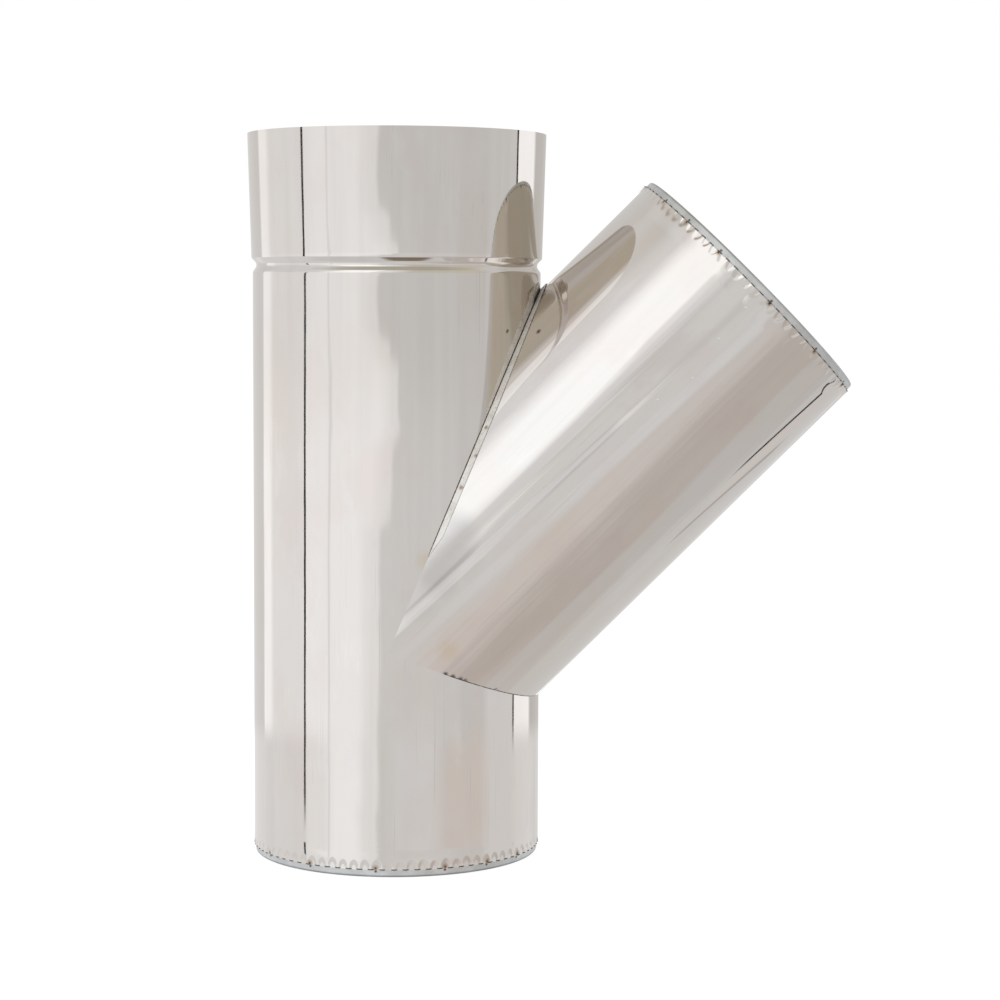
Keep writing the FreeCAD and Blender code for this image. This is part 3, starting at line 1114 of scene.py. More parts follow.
@dataclass(frozen=True)
class StoneWool(Finish):
    """Compressed stone wool, brownish green with pale fibres."""

    colour: Triple = (0.36, 0.31, 0.19)
    tufted: Triple = (0.55, 0.50, 0.34)
    fibrous: Triple = (0.72, 0.68, 0.52)
    tufts: Grain = Grain((120, 120, 60), 5, 0.7)
    fibres: Grain = Grain((300, 1500, 900), 4, 0.7)

    def feeds(self, graph: Graph) -> dict:
        """The wool's colour and fibres.

        Args:
            graph: the material's graph.

        Returns:
            A value or a signal for each socket.
        """
        place = graph.place()
        tufts = graph.noise(place, self.tufts)
        fibres = graph.noise(place, self.fibres)
        colour = graph.blend(tufts.fade(0.35, 0.7), self.colour, self.tufted)
        return {
            "Base Color": graph.blend(fibres.fade(0.55, 0.8) * 0.6, colour, self.fibrous),
            "Roughness": 0.95,
            "Normal": graph.relief(fibres, 0.6, graph.relief(tufts, 3.0)),
        }


@dataclass(frozen=True)
class Crimps:
    """The row of dents that presses a casing's end onto its ring, in millimetres.

    A dent has at least the share smallest of its size and the share shallowest of its depth, and up
    to spread more of each. Rim and side say where its side starts and how wide that is, as shares
    of the way out from its middle.
    """

    count: int = 80
    height: float = 7.0
    half_width: float = 3.4
    depth: float = 0.45
    flare: float = 0.22
    flare_height: float = 3.5
    smallest: float = 0.88
    shallowest: float = 0.8
    spread: float = 0.2
    sway: float = 0.12
    rim: float = 1.04
    side: float = 0.5
    margin: float = 1.2

    def press(self, form: SheetForm, edge: float, inward: float, radius: float) -> None:
        """Moves the sheet near a casing's end.

        Args:
            form: the casing on its own axis.
            edge: height of the casing's edge, in millimetres.
            inward: 1 where the casing lies above its edge, -1 where below.
            radius: the casing's radius, in millimetres.
        """
        pitch = math.tau / self.count
        for vert in form.mesh.verts:
            up = (vert.co.z / MM - edge) * inward
            if not -0.01 <= up <= self.height * self.margin:
                continue
            angle = math.atan2(vert.co.y, vert.co.x)
            index = round(angle / pitch)
            aside = (angle - index * pitch) * radius
            move = self._shift(index % self.count, aside, max(up, 0.0), pitch * radius / 2) * MM
            flat = Vector((vert.co.x, vert.co.y, 0)).normalized()
            vert.co += flat * move

    def _shift(self, index: int, aside: float, up: float, half_pitch: float) -> float:
        """How far outwards the sheet goes at one place, in millimetres.

        Args:
            index: the nearest dent's number.
            aside: how far the place lies beside that dent's middle.
            up: how far it lies from the edge.
            half_pitch: half the way from one dent to the next.

        Returns:
            The move, below 0 in a dent.
        """
        size = self.smallest + self.spread * scatter(index, 1.0)
        lean = (scatter(index, 2.0) - 0.5) * self.sway
        reach = math.hypot((aside - lean * up) / (self.half_width * size), up / (self.height * size))
        inside = clamped((self.rim - reach) / self.side)
        depth = self.depth * (self.shallowest + self.spread * scatter(index, 3.0))
        dent = depth * inside * inside * (3 - 2 * inside)
        between = clamped(abs(aside) / half_pitch * 3 - 2)
        lift = self.flare * between * max(1 - up / self.flare_height, 0.0) ** 2
        return lift - dent


@dataclass
class RunCasing:
    """The upright outer tube with its rolled groove and flared socket, in millimetres."""

    sizes: TeeSizes
    crimps: Crimps
    groove_foot: float = 405.12
    groove_floor: float = 410.02
    groove_top: float = 414.52
    groove_radius: float = 96.6
    socket_radius: float = 100.9
    mouth_radius: float = 103.5
    mouth_height: float = 500.02
    crimped: float = 8.4
    plain: float = 11.0
    beside: float = 3.2

    def outline(self) -> list[Corner]:
        """The outer face of the section, from its foot up."""
        radius = self.sizes.casing_radius
        foot = self.sizes.ring_band
        flare = (self.mouth_radius - self.socket_radius) / (self.mouth_height - self.groove_top)
        near = self.beside
        return [
            Corner(radius, foot, cuts=11),
            Corner(radius, foot + self.crimped),
            Corner(radius, foot + self.plain, cuts=3),
            Corner(radius, self.groove_foot - near),
            Corner(radius, self.groove_foot, bend=4.0),
            Corner(self.groove_radius, self.groove_floor, bend=3.0),
            Corner(self.socket_radius, self.groove_top, bend=1.2),
            Corner(self.socket_radius + flare * near, self.groove_top + near, cuts=2),
            Corner(self.mouth_radius, self.mouth_height),
        ]

    def build(self, material: bpy.types.Material) -> None:
        """Shapes the casing, which stands for the CAD node run_casing.

        Args:
            material: its finish.
        """
        outer = self.outline()
        form = SheetForm().section(outer + parallel(outer, self.sizes.casing_wall)).spin()
        self.crimps.press(form, self.sizes.ring_band, 1.0, self.sizes.casing_radius)
        form.open_for_branch(self.sizes)
        made = form.piece("run_casing_sheet", "polished_casing", [material])
        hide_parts("run_casing")


@dataclass
class BranchCasing:
    """The slanted outer tube, mitred to the run, in millimetres."""

    sizes: TeeSizes
    crimps: Crimps
    start: float = -12.0
    crimped: float = 8.4
    plain: float = 11.0

    def build(self, material: bpy.types.Material) -> None:
        """Shapes the casing, which stands for the CAD node branch_casing.

        Args:
            material: its finish.
        """
        radius = self.sizes.casing_radius
        end = self.sizes.branch_length - self.sizes.ring_band
        outer = [
            Corner(radius, self.start, cuts=3),
            Corner(radius, end - self.plain),
            Corner(radius, end - self.crimped, cuts=11),
            Corner(radius, end),
        ]
        form = SheetForm().section(outer + parallel(outer, self.sizes.casing_wall)).spin()
        self.crimps.press(form, end, -1.0, radius)
        form.set_in(self.sizes.branch().matrix()).fit_to_run(self.sizes)
        made = form.piece("branch_casing_sheet", "polished_casing", [material])
        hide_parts("branch_casing")


@dataclass
class SeamLip:
    """The branch's edge, folded into a narrow raised lip along the upper seam, in millimetres.

    It is cut from a tube round the branch, from foot to top. Start, full, narrow and end are told
    as distances from the run's axis.
    """

    sizes: TeeSizes
    rise: float = 0.5
    wall: float = 0.49
    width: float = 3.6
    start: float = 26.5
    full: float = 33.0
    narrow: float = 68.0
    end: float = 101.0
    end_width: float = 2.1
    foot: float = 20.0
    top: float = 300.0

    def _seam_point(self, along: float, out: float) -> Vector:
        """A point beside the upper seam.

        Args:
            along: how far out from the run's axis, in millimetres.
            out: how far from the seam's plane into the branch, in millimetres.

        Returns:
            The point in metres.
        """
        half = self.sizes.half_angle
        x = along + out * math.cos(half)
        z = self.sizes.crossing + along / math.tan(half) - out * math.sin(half)
        return Vector((x, 0, z)) * MM

    @staticmethod
    def _lies_on(part: bmesh.types.BMFace, cut: tuple[Vector, Vector]) -> bool:
        """Whether a face lies on the plane of a cut."""
        point, normal = cut
        return all(abs((corner.co - point).dot(normal)) < ON_PLANE for corner in part.verts)

    def build(self, face: bpy.types.Material, edge: bpy.types.Material) -> None:
        """Cuts the lip out of a short tube round the branch.

        Args:
            face: the finish of its outer face.
            edge: the finish of its edge at the seam and of its underside, dark also as painted shade there.
        """
        outer = self.sizes.casing_radius + self.rise
        inner = outer - self.wall
        corners = [
            Corner(outer, self.foot),
            Corner(outer, self.top),
            Corner(inner, self.top),
            Corner(inner, self.foot),
        ]
        branch = self.sizes.branch().matrix()
        form = SheetForm().section(corners).spin(HIDDEN_STEPS).set_in(branch)
        seam = self.sizes.upper_mitre()
        first = self._seam_point(self.start, 0)
        taper = self._seam_point(self.full, self.width) - first
        bent = self._seam_point(self.narrow, self.width)
        closing = self._seam_point(self.end, self.end_width) - bent
        at_seam = (self._seam_point(0, 0), seam)
        cuts = (
            (branch.translation, branch.to_3x3() @ Vector((-1, 0, 0))),
            (first, self.sizes.lower_mitre()),
            at_seam,
            (first, Vector((-taper.z, 0, taper.x)).normalized()),
            (bent, -seam),
            (bent, Vector((-closing.z, 0, closing.x)).normalized()),
        )
        for point, normal in cuts:
            rim = form.cut(point, normal, drop=True)
            bmesh.ops.holes_fill(form.mesh, edges=rim, sides=0)
        bmesh.ops.triangulate(form.mesh, faces=[f for f in form.mesh.faces if len(f.verts) > 4])
        bmesh.ops.recalc_face_normals(form.mesh, faces=form.mesh.faces)
        # The edge on the seam's plane and the underside get the dark edge finish, which also paints the shade
        # of the gap and under the lip.
        own = branch.inverted()
        for part in form.mesh.faces:
            middle = own @ part.calc_center_median()
            near = math.hypot(middle.x, middle.y) < (inner + self.wall / 4) * MM
            under = near and not any(self._lies_on(part, cut) for cut in cuts)
            part.material_index = int(under or self._lies_on(part, at_seam))
        form.piece("seam_lip", "polished_casing", [face, edge])


@dataclass
class EndRing:
    """A pressed ring that closes the wool space at one end, in millimetres from its face."""

    sizes: TeeSizes
    band_radius: float = 99.0
    sleeve_radius: float = 58.75
    band: float = 8.0
    collar: float = 15.0
    sleeve: float = 12.0
    bend: float = 1.6

    def build(self, name: str, node: str, matrix: Matrix, material: bpy.types.Material) -> None:
        """Shapes the ring.

        Args:
            name: the piece's name.
            node: the CAD node that it stands for.
            matrix: where it goes.
            material: its finish.
        """
        wall = self.sizes.ring_wall
        corners = [
            Corner(self.sleeve_radius, self.sleeve),
            Corner(self.sleeve_radius, 0.0, bend=0.9),
            Corner(self.band_radius, 0.0, bend=self.bend),
            Corner(self.band_radius, self.band),
            Corner(self.band_radius, self.collar),
            Corner(self.band_radius - wall, self.collar),
            Corner(self.band_radius - wall, wall, bend=self.bend - wall),
            Corner(self.sleeve_radius + wall, wall, bend=0.4),
            Corner(self.sleeve_radius + wall, self.sleeve),
        ]
        form = SheetForm().section(corners).spin(HIDDEN_STEPS).set_in(matrix)
        made = form.piece(name, "galvanised_ring", [material])
        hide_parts(node)


@dataclass
class CoverRing:
    """The plate above the groove that closes the wool space, in millimetres."""

    sizes: TeeSizes
    height: float = 415.92
    sleeve: float = 12.0
    rim_radius: float = 100.3
    rim: float = 6.0
    fit: float = 0.1

    def build(self, material: bpy.types.Material) -> None:
        """Shapes the plate, which stands for the CAD node top_cover_ring.

        Args:
            material: its finish.
        """
        wall = self.sizes.ring_wall
        sleeve = self.sizes.flue_radius + self.fit
        face = self.height + wall
        corners = [
            Corner(sleeve, self.height - self.sleeve),
            Corner(sleeve + wall, self.height - self.sleeve),
            Corner(sleeve + wall, self.height, bend=0.5),
            Corner(self.rim_radius, self.height, bend=1.2),
            Corner(self.rim_radius, face + self.rim),
            Corner(self.rim_radius - wall, face + self.rim),
            Corner(self.rim_radius - wall, face, bend=0.7),
            Corner(sleeve, face, bend=1.0),
        ]
        form = SheetForm().section(corners).spin(HIDDEN_STEPS)
        made = form.piece("cover_plate", "galvanised_ring", [material])
        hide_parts("top_cover_ring")


@dataclass
class RunFlue:
    """The upright inner tube: socket below, stop bead and spigot above, in millimetres."""

    sizes: TeeSizes
    socket_depth: float = 50.0
    cone: float = 3.0
    bead_radius: float = 60.5
    bead_foot: float = 418.42
    bead_slope: float = 2.0
    spigot_foot: float = 424.42
    spigot_top: float = 478.42
    tip_radius: float = 57.2
    tip: float = 481.42

    def build(self, material: bpy.types.Material) -> None:
        """Shapes the tube, which stands for the CAD node run_flue.

        Args:
            material: its finish.
        """
        radius = self.sizes.flue_radius
        socket = self.sizes.flue_socket_radius
        outer = [
            Corner(socket, 0.0),
            Corner(socket, self.socket_depth - 2),
            Corner(socket, self.socket_depth, bend=1.5),
            Corner(radius, self.socket_depth + self.cone, bend=1.5),
            Corner(radius, self.socket_depth + self.cone + 3),
            Corner(radius, self.bead_foot - 3),
            Corner(radius, self.bead_foot, bend=1.2),
            Corner(self.bead_radius, self.bead_foot + self.bead_slope, bend=1.0),
            Corner(self.bead_radius, self.spigot_foot - self.bead_slope, bend=1.0),
            Corner(radius, self.spigot_foot, bend=1.2),
            Corner(radius, self.spigot_foot + 3),
            Corner(radius, self.spigot_top - 2),
            Corner(radius, self.spigot_top, bend=3.0),
            Corner(self.tip_radius, self.tip),
        ]
        form = SheetForm().section(outer + parallel(outer, self.sizes.flue_wall)).spin(HIDDEN_STEPS)
        form.open_for_branch(self.sizes)
        made = form.piece("run_flue_tube", "flue_steel", [material])
        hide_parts("run_flue")


@dataclass
class BranchFlue:
    """The slanted inner tube with a socket at its end, in millimetres."""

    sizes: TeeSizes
    start: float = -8.0
    socket_depth: float = 50.0
    cone: float = 3.0

    def build(self, material: bpy.types.Material) -> None:
        """Shapes the tube, which stands for the CAD node branch_flue.

        Args:
            material: its finish.
        """
        radius = self.sizes.flue_radius
        socket = self.sizes.flue_socket_radius
        end = self.sizes.branch_length
        outer = [
            Corner(radius, self.start),
            Corner(radius, end - self.socket_depth - self.cone - 3),
            Corner(radius, end - self.socket_depth - self.cone, bend=1.5),
            Corner(socket, end - self.socket_depth, bend=1.5),
            Corner(socket, end - self.socket_depth + 2),
            Corner(socket, end),
        ]
        form = SheetForm().section(outer + parallel(outer, self.sizes.flue_wall)).spin(HIDDEN_STEPS)
        form.set_in(self.sizes.branch().matrix()).fit_to_run(self.sizes)
        made = form.piece("branch_flue_tube", "flue_steel", [material])
        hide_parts("branch_flue")


class Tone(Enum):
    """How bright a panel of the tent looks, as a colour."""

    GLOW = (1.36, 1.38, 1.41)
    HOT = (1.28, 1.29, 1.30)
    BRIGHT = (1.17, 1.17, 1.18)
    WHITE = (1.075, 1.065, 1.065)
    PALE = (0.965, 0.955, 0.95)
    SOFT = (0.865, 0.855, 0.85)
    GREY = (0.80, 0.80, 0.80)
    CALM = (0.77, 0.765, 0.755)
    DULL = (0.715, 0.705, 0.695)
    MID = (0.63, 0.61, 0.59)
    SLIT = (0.03, 0.03, 0.03)
    CREAM = (0.745, 0.70, 0.67)
    BEIGE = (0.59, 0.54, 0.505)
    TAN = (0.67, 0.63, 0.545)
    UMBER = (0.25, 0.205, 0.16)
    OLIVE = (0.51, 0.475, 0.40)


@dataclass(frozen=True)
class Panel:
    """One upright panel of the tent.

    Attributes:
        start: where it starts, in degrees from the front.
        tone: its tone.
        soft: half the width of the soft edge at its start, in degrees.
    """

    start: float
    tone: Tone
    soft: float = 0.4


@dataclass(frozen=True)
class Stripe:
    """A narrow stripe on the tent, such as the dark gap between two panels, in degrees.

    Attributes:
        turn: its bearing from the front, at its own level.
        low: where it ends below.
        high: where it ends above.
        tone: its tone.
        half: half its width.
        depth: how strongly it shows, from 0 to 1.
        lean: how far it turns for each degree that it rises.
        level: the height where its bearing is turn.
    """

    turn: float
    low: float
    high: float = 14.0
    tone: Tone = Tone.SLIT
    half: float = 1.2
    depth: float = 1.0
    lean: float = 0.0
    level: float = 0.0

    def mask(self, bearing: Signal, rise: Signal) -> Signal:
        """The stripe as a signal.

        Args:
            bearing: degrees from the front.
            rise: degrees above the horizon.

        Returns:
            1 on the stripe and 0 away from it.
        """
        away = (bearing - (rise - self.level) * self.lean - self.turn).size()
        line = away.fade(self.half, self.half * 0.72)
        return line * rise.within(self.low - 0.5, self.low + 0.6, self.high, self.high + 2)


@dataclass
class Studio:
    """Plain pale floor, soft lamps, and a tent of pale panels that only the metal sees.

    Attributes:
        floor_reach: how far the floor reaches, in metres.
        floor_drop: how far it lies under the tee, in metres.
        floor_glow: how brightly it shines for the camera.
        floor_share: how much of that shine the camera sees, the rest being lit paper.
        daylight: how bright the world is.
        radius: the tent's radius, in metres.
        dark_lean: how far the dark patch underneath lies to one side.
        fold: how far folds move the front panels' edges, in degrees.
        fold_rate: folds for each degree of height.
        swell: how far the front panels swell to the left, in degrees.
        side_lean: how far the right panels turn for each degree that they rise.
        upper_lean: the same of the upper row.
        upper_sway: how far noise moves the upper row's edges, in degrees.
        lower_sway: the same of the lower row.
        ruffles: that noise.
        stripes: the narrow stripes.
        middle: the row of panels at the camera's height.
        foot: the row below it.
        upper: the row overhead.
        lower: the lowest row.
    """

    floor_reach: float = 5.0
    floor_drop: float = 0.0002
    floor_glow: float = 1.12
    floor_share: float = 0.8
    daylight: float = 0.82
    radius: float = 6.0
    dark_lean: float = math.radians(3.5)
    fold: float = 14.4
    fold_rate: float = 0.42
    swell: float = 9.0
    side_lean: float = 0.15
    upper_lean: float = 0.3
    upper_sway: float = 7.2
    lower_sway: float = 25.2
    ruffles: Grain = Grain((11, 11, 11))
    stripes: tuple[Stripe, ...] = (
        Stripe(-73.9, -11.0, half=1.1, lean=0.08),
        Stripe(110.3, -8.9),
        Stripe(-51.8, -14.5, tone=Tone.DULL, half=1.0, depth=0.4),
        Stripe(125.1, -37.6, -29.0, Tone.CREAM, half=4.4, depth=0.75, lean=1.15, level=-35.0),
        Stripe(120.4, -37.4, -30.0, half=0.95, lean=1.15, level=-35.0),
        Stripe(130.0, -37.2, -28.0, Tone.UMBER, half=0.9, depth=0.45, lean=1.15, level=-35.0),
    )
    middle: tuple[Panel, ...] = (
        Panel(-180, Tone.GLOW),
        Panel(-173, Tone.GREY, 2),
        Panel(-166, Tone.CALM, 3),
        Panel(-129, Tone.BRIGHT, 1),
        Panel(-115, Tone.PALE, 3),
        Panel(-73.9, Tone.WHITE, 0.3),
        Panel(-22, Tone.PALE, 6),
        Panel(-10.5, Tone.CALM, 1.2),
        Panel(50, Tone.DULL, 7),
        Panel(78, Tone.GREY, 3),
        Panel(110.5, Tone.BRIGHT, 0.4),
        Panel(137, Tone.MID, 2),
        Panel(178, Tone.BRIGHT, 0.5),
    )
    foot: tuple[Panel, ...] = (
        Panel(-180, Tone.GLOW),
        Panel(-168, Tone.SOFT, 4),
        Panel(-74, Tone.PALE, 2),
        Panel(-52, Tone.WHITE, 6),
        Panel(-26, Tone.PALE, 4),
        Panel(-12, Tone.CALM, 1.2),
        Panel(2, Tone.GREY, 3),
        Panel(38, Tone.CREAM, 8),
        Panel(78, Tone.GREY, 6),
        Panel(112, Tone.SOFT, 6),
        Panel(146, Tone.CALM, 6),
    )
    upper: tuple[Panel, ...] = (
        Panel(-180, Tone.DULL),
        Panel(-128, Tone.GREY, 10),
        Panel(-84, Tone.SOFT, 6),
        Panel(-53, Tone.HOT, 9),
        Panel(-13.8, Tone.PALE, 1.6),
        Panel(6, Tone.TAN, 9),
        Panel(86, Tone.DULL, 6),
        Panel(112, Tone.MID, 6),
        Panel(160, Tone.OLIVE, 3),
    )
    lower: tuple[Panel, ...] = (
        Panel(-180, Tone.GREY),
        Panel(-20, Tone.CALM, 10),
        Panel(14, Tone.CREAM, 4),
        Panel(36, Tone.BEIGE, 8),
        Panel(78, Tone.MID, 4),
        Panel(114, Tone.DULL, 7),
        Panel(169, Tone.GLOW, 1.5),
    )

    @staticmethod
    def _stops(panels: tuple[Panel, ...]) -> list[tuple[float, Triple]]:
        """A ramp's stops for panels with soft edges.

        Args:
            panels: the panels, from left to right.

        Returns:
            Positions from 0 to 1, each with its colour.
        """
        stops = []
        for index, panel in enumerate(panels):
            start = panel.start + (panel.soft if index else 0.0)
            following = panels[index + 1] if index + 1 < len(panels) else Panel(180, panel.tone, 0)
            end = following.start - following.soft
            stops.append(((start + 180) / 360, panel.tone.value))
            stops.append(((end + 180) / 360, panel.tone.value))
        return stops

    def _waved(self, graph: Graph, bearing: Signal, rise: Signal) -> Signal:
        """The bearing where the panels hang unevenly.

        Args:
            graph: the tent's graph.
            bearing: degrees from the front.
            rise: degrees above the horizon.

        Returns:
            The bearing that a straight panel would be read at.
        """
        inputs = {"W": rise * self.fold_rate, "Scale": 1.0, "Detail": 5.0, "Roughness": 0.6}
        folds = graph.out("ShaderNodeTexNoise", inputs, noise_dimensions="1D") - 0.5
        swell = rise.within(-3.0, -2.5, 2.3, 2.8) + rise.within(-0.7, -0.2, 1.6, 2.0)
        near_front = (bearing + 10.8).size().fade(46.8, 7.2)
        leaning = bearing.fade(93.6, 104.4) * (rise.larger(-10.0) + 8) * -self.side_lean
        return bearing + (folds * self.fold - swell * self.swell) * near_front - leaning

    def _row(self, graph: Graph, bearing: Signal, panels: tuple[Panel, ...]) -> Signal:
        """The colour of a row of panels at a bearing in degrees from the front."""
        inputs = {"Fac": bearing * (1 / 360) + 0.5}
        return graph.out("ShaderNodeValToRGB", inputs, stops=self._stops(panels))

    def _look(self, graph: Graph) -> Signal:
        """The tent's colour in each direction.

        Args:
            graph: the tent's graph.

        Returns:
            The colour.
        """
        place = graph.out("ShaderNodeVectorMath", {0: graph.place()}, operation="NORMALIZE")
        x, y, z = graph.parts(place)
        bearing = x.angle_over(y * -1.0) * DEGREES
        rise = z.arcsine() * DEGREES
        waved = self._waved(graph, bearing, rise)
        sway = graph.noise(place, self.ruffles) - 0.5
        high = bearing - (rise - 32) * self.upper_lean + sway * self.upper_sway
        low = waved + sway * self.lower_sway
        shade = waved.fade(-12.24, -9.0) * 0.3 + 0.15
        shade = rise.fade(-1.5, 3) * shade * waved.fade(110.52, 108.72)
        below = x * math.sin(self.dark_lean) - z * math.cos(self.dark_lean)
        colour = self._row(graph, waved, self.middle)
        for mask, tone in (
            (shade, Tone.MID.value),
            (rise.fade(-8.4, -9.2), self._row(graph, waved, self.foot)),
            (rise.fade(-13, -16), self._row(graph, low, self.lower)),
            (rise.fade(-46, -56), Tone.DULL.value),
            (below.fade(0.960, 0.974), Tone.UMBER.value),
            (rise.fade(12, 22), self._row(graph, high, self.upper)),
            (rise.fade(46, 62), Tone.OLIVE.value),
        ):
            colour = graph.blend(mask, colour, tone)
        for stripe in self.stripes:
            mask = stripe.mask(waved, rise) * stripe.depth
            colour = graph.blend(mask, colour, stripe.tone.value)
        return colour

    def tent(self) -> None:
        """Hangs the tent, whose tones depend on the direction only."""
        mesh = bmesh.new()
        bmesh.ops.create_uvsphere(mesh, u_segments=64, v_segments=32, radius=self.radius)
        material, graph = blank_material("tent_panels")
        inputs = {"Color": self._look(graph), "Strength": 1.0}
        graph.surface(graph.out("ShaderNodeEmission", inputs))
        tent = object_from(mesh, "studio_tent", [material])
        tent.visible_camera = False
        tent.visible_diffuse = False
        tent.visible_transmission = False
        tent.visible_shadow = False

    def floor(self) -> None:
        """Lays the floor: white to the camera, with the tee's soft shadow on it."""
        mesh = bmesh.new()
        bmesh.ops.create_grid(mesh, x_segments=1, y_segments=1, size=self.floor_reach)
        bmesh.ops.translate(mesh, vec=(0, 0, -self.floor_drop), verts=mesh.verts)
        material, graph = blank_material("white_floor")
        paper = graph.out("ShaderNodeBsdfDiffuse", {"Color": (0.9, 0.9, 0.9, 1.0)})
        inputs = {"Color": (1.0, 1.0, 1.0, 1.0), "Strength": self.floor_glow}
        glow = graph.out("ShaderNodeEmission", inputs)
        seen = graph.out("ShaderNodeLightPath", output="Is Camera Ray") * self.floor_share
        graph.surface(graph.out("ShaderNodeMixShader", {0: seen, 1: paper, 2: glow}))
        floor = object_from(mesh, "studio_floor", [material])
        floor.visible_glossy = False

    @staticmethod
    def lamp(name: str, place: Triple, size: float, power: float) -> None:
        """Hangs one soft square lamp that looks at the tee.

        Args:
            name: the lamp's name.
            place: where it hangs, in metres.
            size: the length of its side, in metres.
            power: its power in watts.
        """
        data = bpy.data.lights.new(name, "AREA")
        data.size = size
        data.energy = power
        lamp = bpy.data.objects.new(name, data)
        lamp.location = place
        ahead = Vector((0, 0, 0.25)) - Vector(place)
        lamp.rotation_euler = ahead.to_track_quat("-Z", "Y").to_euler()
        lamp.visible_glossy = False
        bpy.context.scene.collection.objects.link(lamp)

    def world(self) -> None:
        """Lights the tee evenly, and is white to the camera and in metal and glass."""
        world = bpy.data.worlds.new("pale_world")
        bpy.context.scene.world = world
        world.use_nodes = True
        graph = Graph(world.node_tree)
        path = graph.node("ShaderNodeLightPath")
        seen = Signal(graph, path.outputs["Is Camera Ray"])
        for name in ("Is Glossy Ray", "Is Transmission Ray"):
            seen = seen + Signal(graph, path.outputs[name])
        colour = graph.blend(seen, (self.daylight,) * 3, (1.0, 1.0, 1.0))
        shader = graph.out("ShaderNodeBackground", {"Color": colour, "Strength": 1.0})
        graph.surface(shader, "ShaderNodeOutputWorld")

    def build(self) -> None:
        """Sets up the whole studio."""
        self.world()
        self.floor()
        self.tent()
        self.lamp("soft_lamp_left", (-1.8, -1.6, 2.4), 2.0, 16.0)
        self.lamp("soft_lamp_right", (2.0, -0.9, 2.2), 1.8, 9.0)
        bpy.context.scene.view_settings.view_transform = "Standard"


@dataclass(frozen=True)
class StudioCamera:
    """The photograph's camera, fitted to the tee: metres, degrees and millimetres of lens."""

    distance: float = 1.80731
    height: float = 0.39157
    bearing: float = 3.218
    heading: float = -0.925
    pitch: float = -4.596
    roll: float = 0.234
    lens: float = 93.02

    def build(self) -> None:
        """Places the camera and makes it the scene's."""
        bearing, heading = math.radians(self.bearing), math.radians(self.heading)
        pitch, roll = math.radians(self.pitch), math.radians(self.roll)
        level = math.cos(pitch)
        ahead = Vector((math.sin(heading) * level, math.cos(heading) * level, math.sin(pitch)))
        right = Vector((math.cos(heading), -math.sin(heading), 0))
        above = right.cross(ahead)
        side = right * math.cos(roll) + above * math.sin(roll)
        top = above * math.cos(roll) - right * math.sin(roll)
        data = bpy.data.cameras.new("photo_camera")
        data.sensor_width = 36.0
        data.lens = self.lens
        camera = bpy.data.objects.new("photo_camera", data)
        away = self.distance
        place = Vector((away * math.sin(bearing), -away * math.cos(bearing), self.height))
        turned = Matrix((side, top, -ahead)).transposed().to_4x4()
        camera.matrix_world = Matrix.Translation(place) @ turned
        bpy.context.scene.collection.objects.link(camera)
        bpy.context.scene.camera = camera


TINT = {"reach": 11, "colour": (0.66, 0.53, 0.34), "depth": 0.32}
RUN_MARKS = (Marks(((25.2, -96.8, 213.0), (37.0, -93.0, 150.0)), **TINT),)
BRANCH_MARKS_AND_SHADE = (
    Marks(((27.3, -96.2, 29.2),), **TINT),
    # Painted shade: a grey patch that dims the reflected highlight low on the branch's front.
    Marks(
        ((-12.2, -99.2, 38), (-12.2, -99.2, 58), (-12.2, -99.2, 78)),
        reach=21,
        colour=(0.65, 0.635, 0.62),
        depth=0.8,
    ),
    # Painted shade: a soft grey haze beside the lip's lower end that dims the reflected highlight there.
    Marks(
        ((-25, -96.8, 90), (-23, -97.3, 82), (-21, -97.8, 74), (-18, -98.4, 66), (-15, -98.9, 58)),
        reach=19,
        colour=(0.55, 0.54, 0.53),
        depth=0.85,
    ),
    Marks(
        ((3.1, -100, 328.8), (5.2, -99.9, 302), (11.5, -99.3, 271.9), (5.6, -99.8, 245.4)),
        reach=0.9,
        colour=(0.98, 0.98, 0.98),
        depth=0.8,
        dull=1.0,
    ),
    Marks(
        (
            (-81.0, -58.6, 220.7),
            (37.5, -92.7, 16.1),
            (42.4, -90.6, 18.1),
            (47.4, -88.1, 20.2),
            (50.3, -86.4, 21.3),
            (70.8, -70.6, 29.8),
        ),
        reach=2.8,
        colour=(0.10, 0.075, 0.08),
        depth=0.9,
        broken=1.0,
        dull=1.0,
    ),
)
# Painted reflection: one lighter and two darker bands along the branch's front.
BRANCH_REFLECTION_BANDS = (
    PaintedReflectionBand(-11.0, 3.2, (0.665, 0.65, 0.635), 95, 345),
    PaintedReflectionBand(-4.6, 4.8, (0.83, 0.81, 0.79), 75, 345),
    PaintedReflectionBand(-2.2, 2.2, (0.63, 0.615, 0.60), 25, 215, lean=0.016),
)
LIP_WELDS = (
    (-88, -48.4, 220.5),
    (-79.4, -61.6, 187.4),
    (-60.5, -80.3, 151.2),
    (-52, -86, 133.6),
    (-43.9, -90.3, 111.7),
)


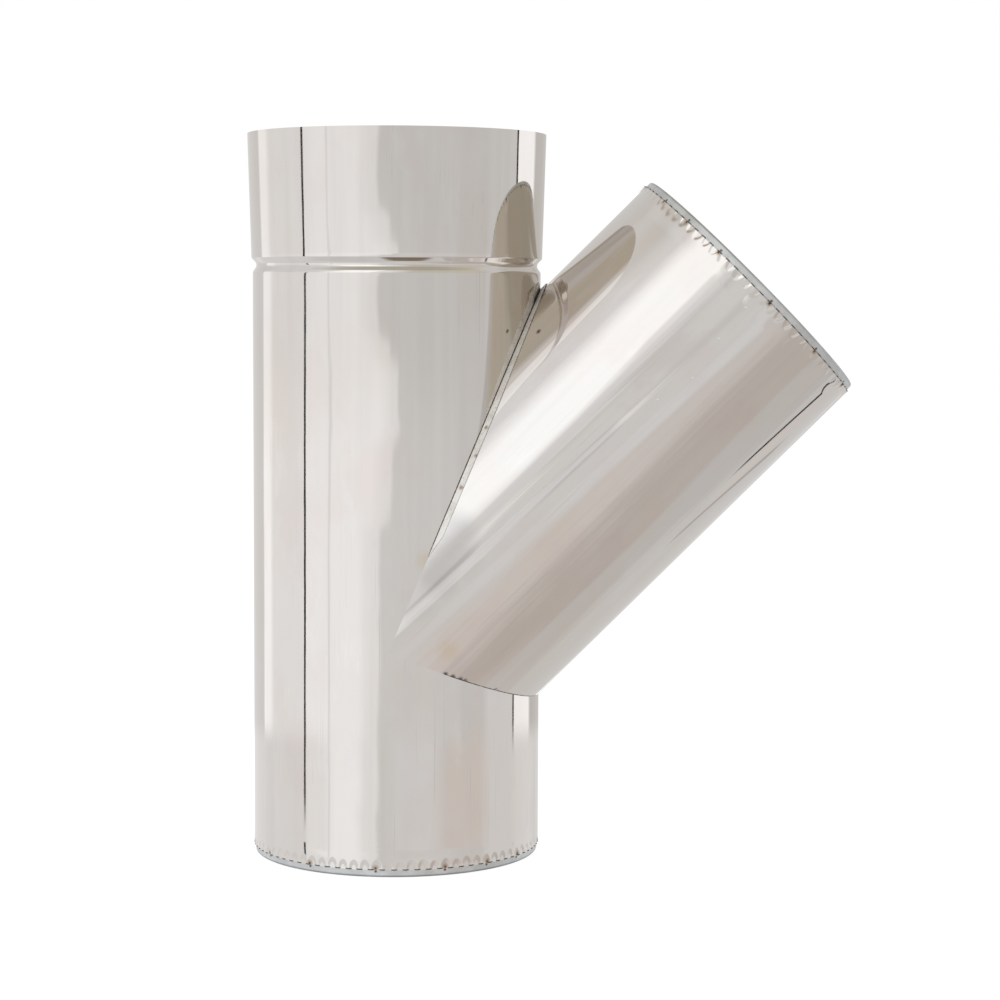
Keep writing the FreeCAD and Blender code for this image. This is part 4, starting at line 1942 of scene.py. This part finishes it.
@dataclass
class ChimneyTee:
    """The whole tee: its pieces in order, each with its finish.

    Attributes:
        sizes: the shared sizes.
        crimps: the dents of both casings' ends.
        weld_height: how far from a casing's edge its spot welds lie, in millimetres.
        mark_height: how far from that edge their marks on the ring lie, in millimetres.
    """

    sizes: TeeSizes = field(default_factory=TeeSizes)
    crimps: Crimps = field(default_factory=Crimps)
    weld_height: float = 1.2
    mark_height: float = 0.9

    def casings(self) -> None:
        """Builds the two outer tubes and the lip on the seam between them."""
        sizes = self.sizes
        radius = sizes.casing_radius
        edge = sizes.ring_band
        end = sizes.branch_length - edge
        crossing = Vector(sizes.branch().metres())
        run_steel = PolishedSteel(
            axis=sizes.run(),
            edge=edge,
            inward=1.0,
            welds=ring_points(Welds.RUN.value, radius, edge + self.weld_height),
            seam=SeamShadeLine(crossing, sizes.upper_mitre(), -0.38, 0.48, start=24, weaker=54),
            marks=RUN_MARKS,
        ).make("run_polished_steel")
        branch_steel = PolishedSteel(
            axis=sizes.branch(),
            edge=end,
            inward=-1.0,
            welds=ring_points(Welds.BRANCH.value, radius, end - self.weld_height),
            seam=SeamShadeLine(crossing, sizes.lower_mitre(), 0.2, 0.75, start=37),
            marks=BRANCH_MARKS_AND_SHADE,
            bands=BRANCH_REFLECTION_BANDS,
            open_edge=0.45,
        ).make("branch_polished_steel")
        lip_steel = GroundSteel(sizes.branch(), LIP_WELDS).make("lip_ground_steel")
        oxide_and_shade = CutOxideAndShade().make("cut_edge_oxide_and_shade")
        RunCasing(sizes, self.crimps).build(run_steel)
        BranchCasing(sizes, self.crimps).build(branch_steel)
        SeamLip(sizes).build(lip_steel, oxide_and_shade)

    def rings(self) -> None:
        """Builds the two end rings and the cover plate."""
        sizes = self.sizes
        ring = EndRing(sizes)
        run_axis, branch_axis = sizes.run(), sizes.branch()
        end = sizes.branch_length
        height = sizes.ring_band - self.mark_height
        run_marks = ring_points(Welds.RUN.value, ring.band_radius, height)
        branch_marks = ring_points(Welds.BRANCH.value, ring.band_radius, end - height)
        base = GalvanisedSheet(run_axis, 0.0, 1.0, run_marks, shade=0.6).make("base_ring_zinc")
        tip = GalvanisedSheet(branch_axis, end, -1.0, branch_marks).make("branch_ring_zinc")
        ring.build("base_ring", "base_end_ring", run_axis.matrix(), base)
        ring.build("branch_ring", "branch_end_ring", branch_axis.matrix(end, flip=True), tip)
        CoverRing(sizes).build(base)

    def flues(self) -> None:
        """Builds the two inner tubes."""
        RunFlue(self.sizes).build(MillSteel(self.sizes.run()).make("run_flue_steel"))
        BranchFlue(self.sizes).build(MillSteel(self.sizes.branch()).make("branch_flue_steel"))

    def wool(self, nodes: dict) -> None:
        """Dresses the two CAD nodes of stone wool.

        Args:
            nodes: the frame's nodes by name.
        """
        finish = StoneWool().make("stone_wool_fill")
        for name in ("run_wool", "branch_wool"):
            for slot in nodes[name].material_slots:
                slot.material = finish
            LOG.info("%s: dressed", name)

    def build(self, nodes: dict) -> None:
        """Builds every piece.

        Args:
            nodes: the frame's nodes by name.
        """
        self.casings()
        self.rings()
        self.flues()
        self.wool(nodes)


def main() -> None:
    """Builds the tee, its studio and its camera."""
    logging.basicConfig(level=logging.INFO, format="%(message)s")
    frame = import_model()
    StudioCamera().build()
    ChimneyTee().build(frame["nodes"])
    Studio().build()


if __name__ == "__main__":
    main()
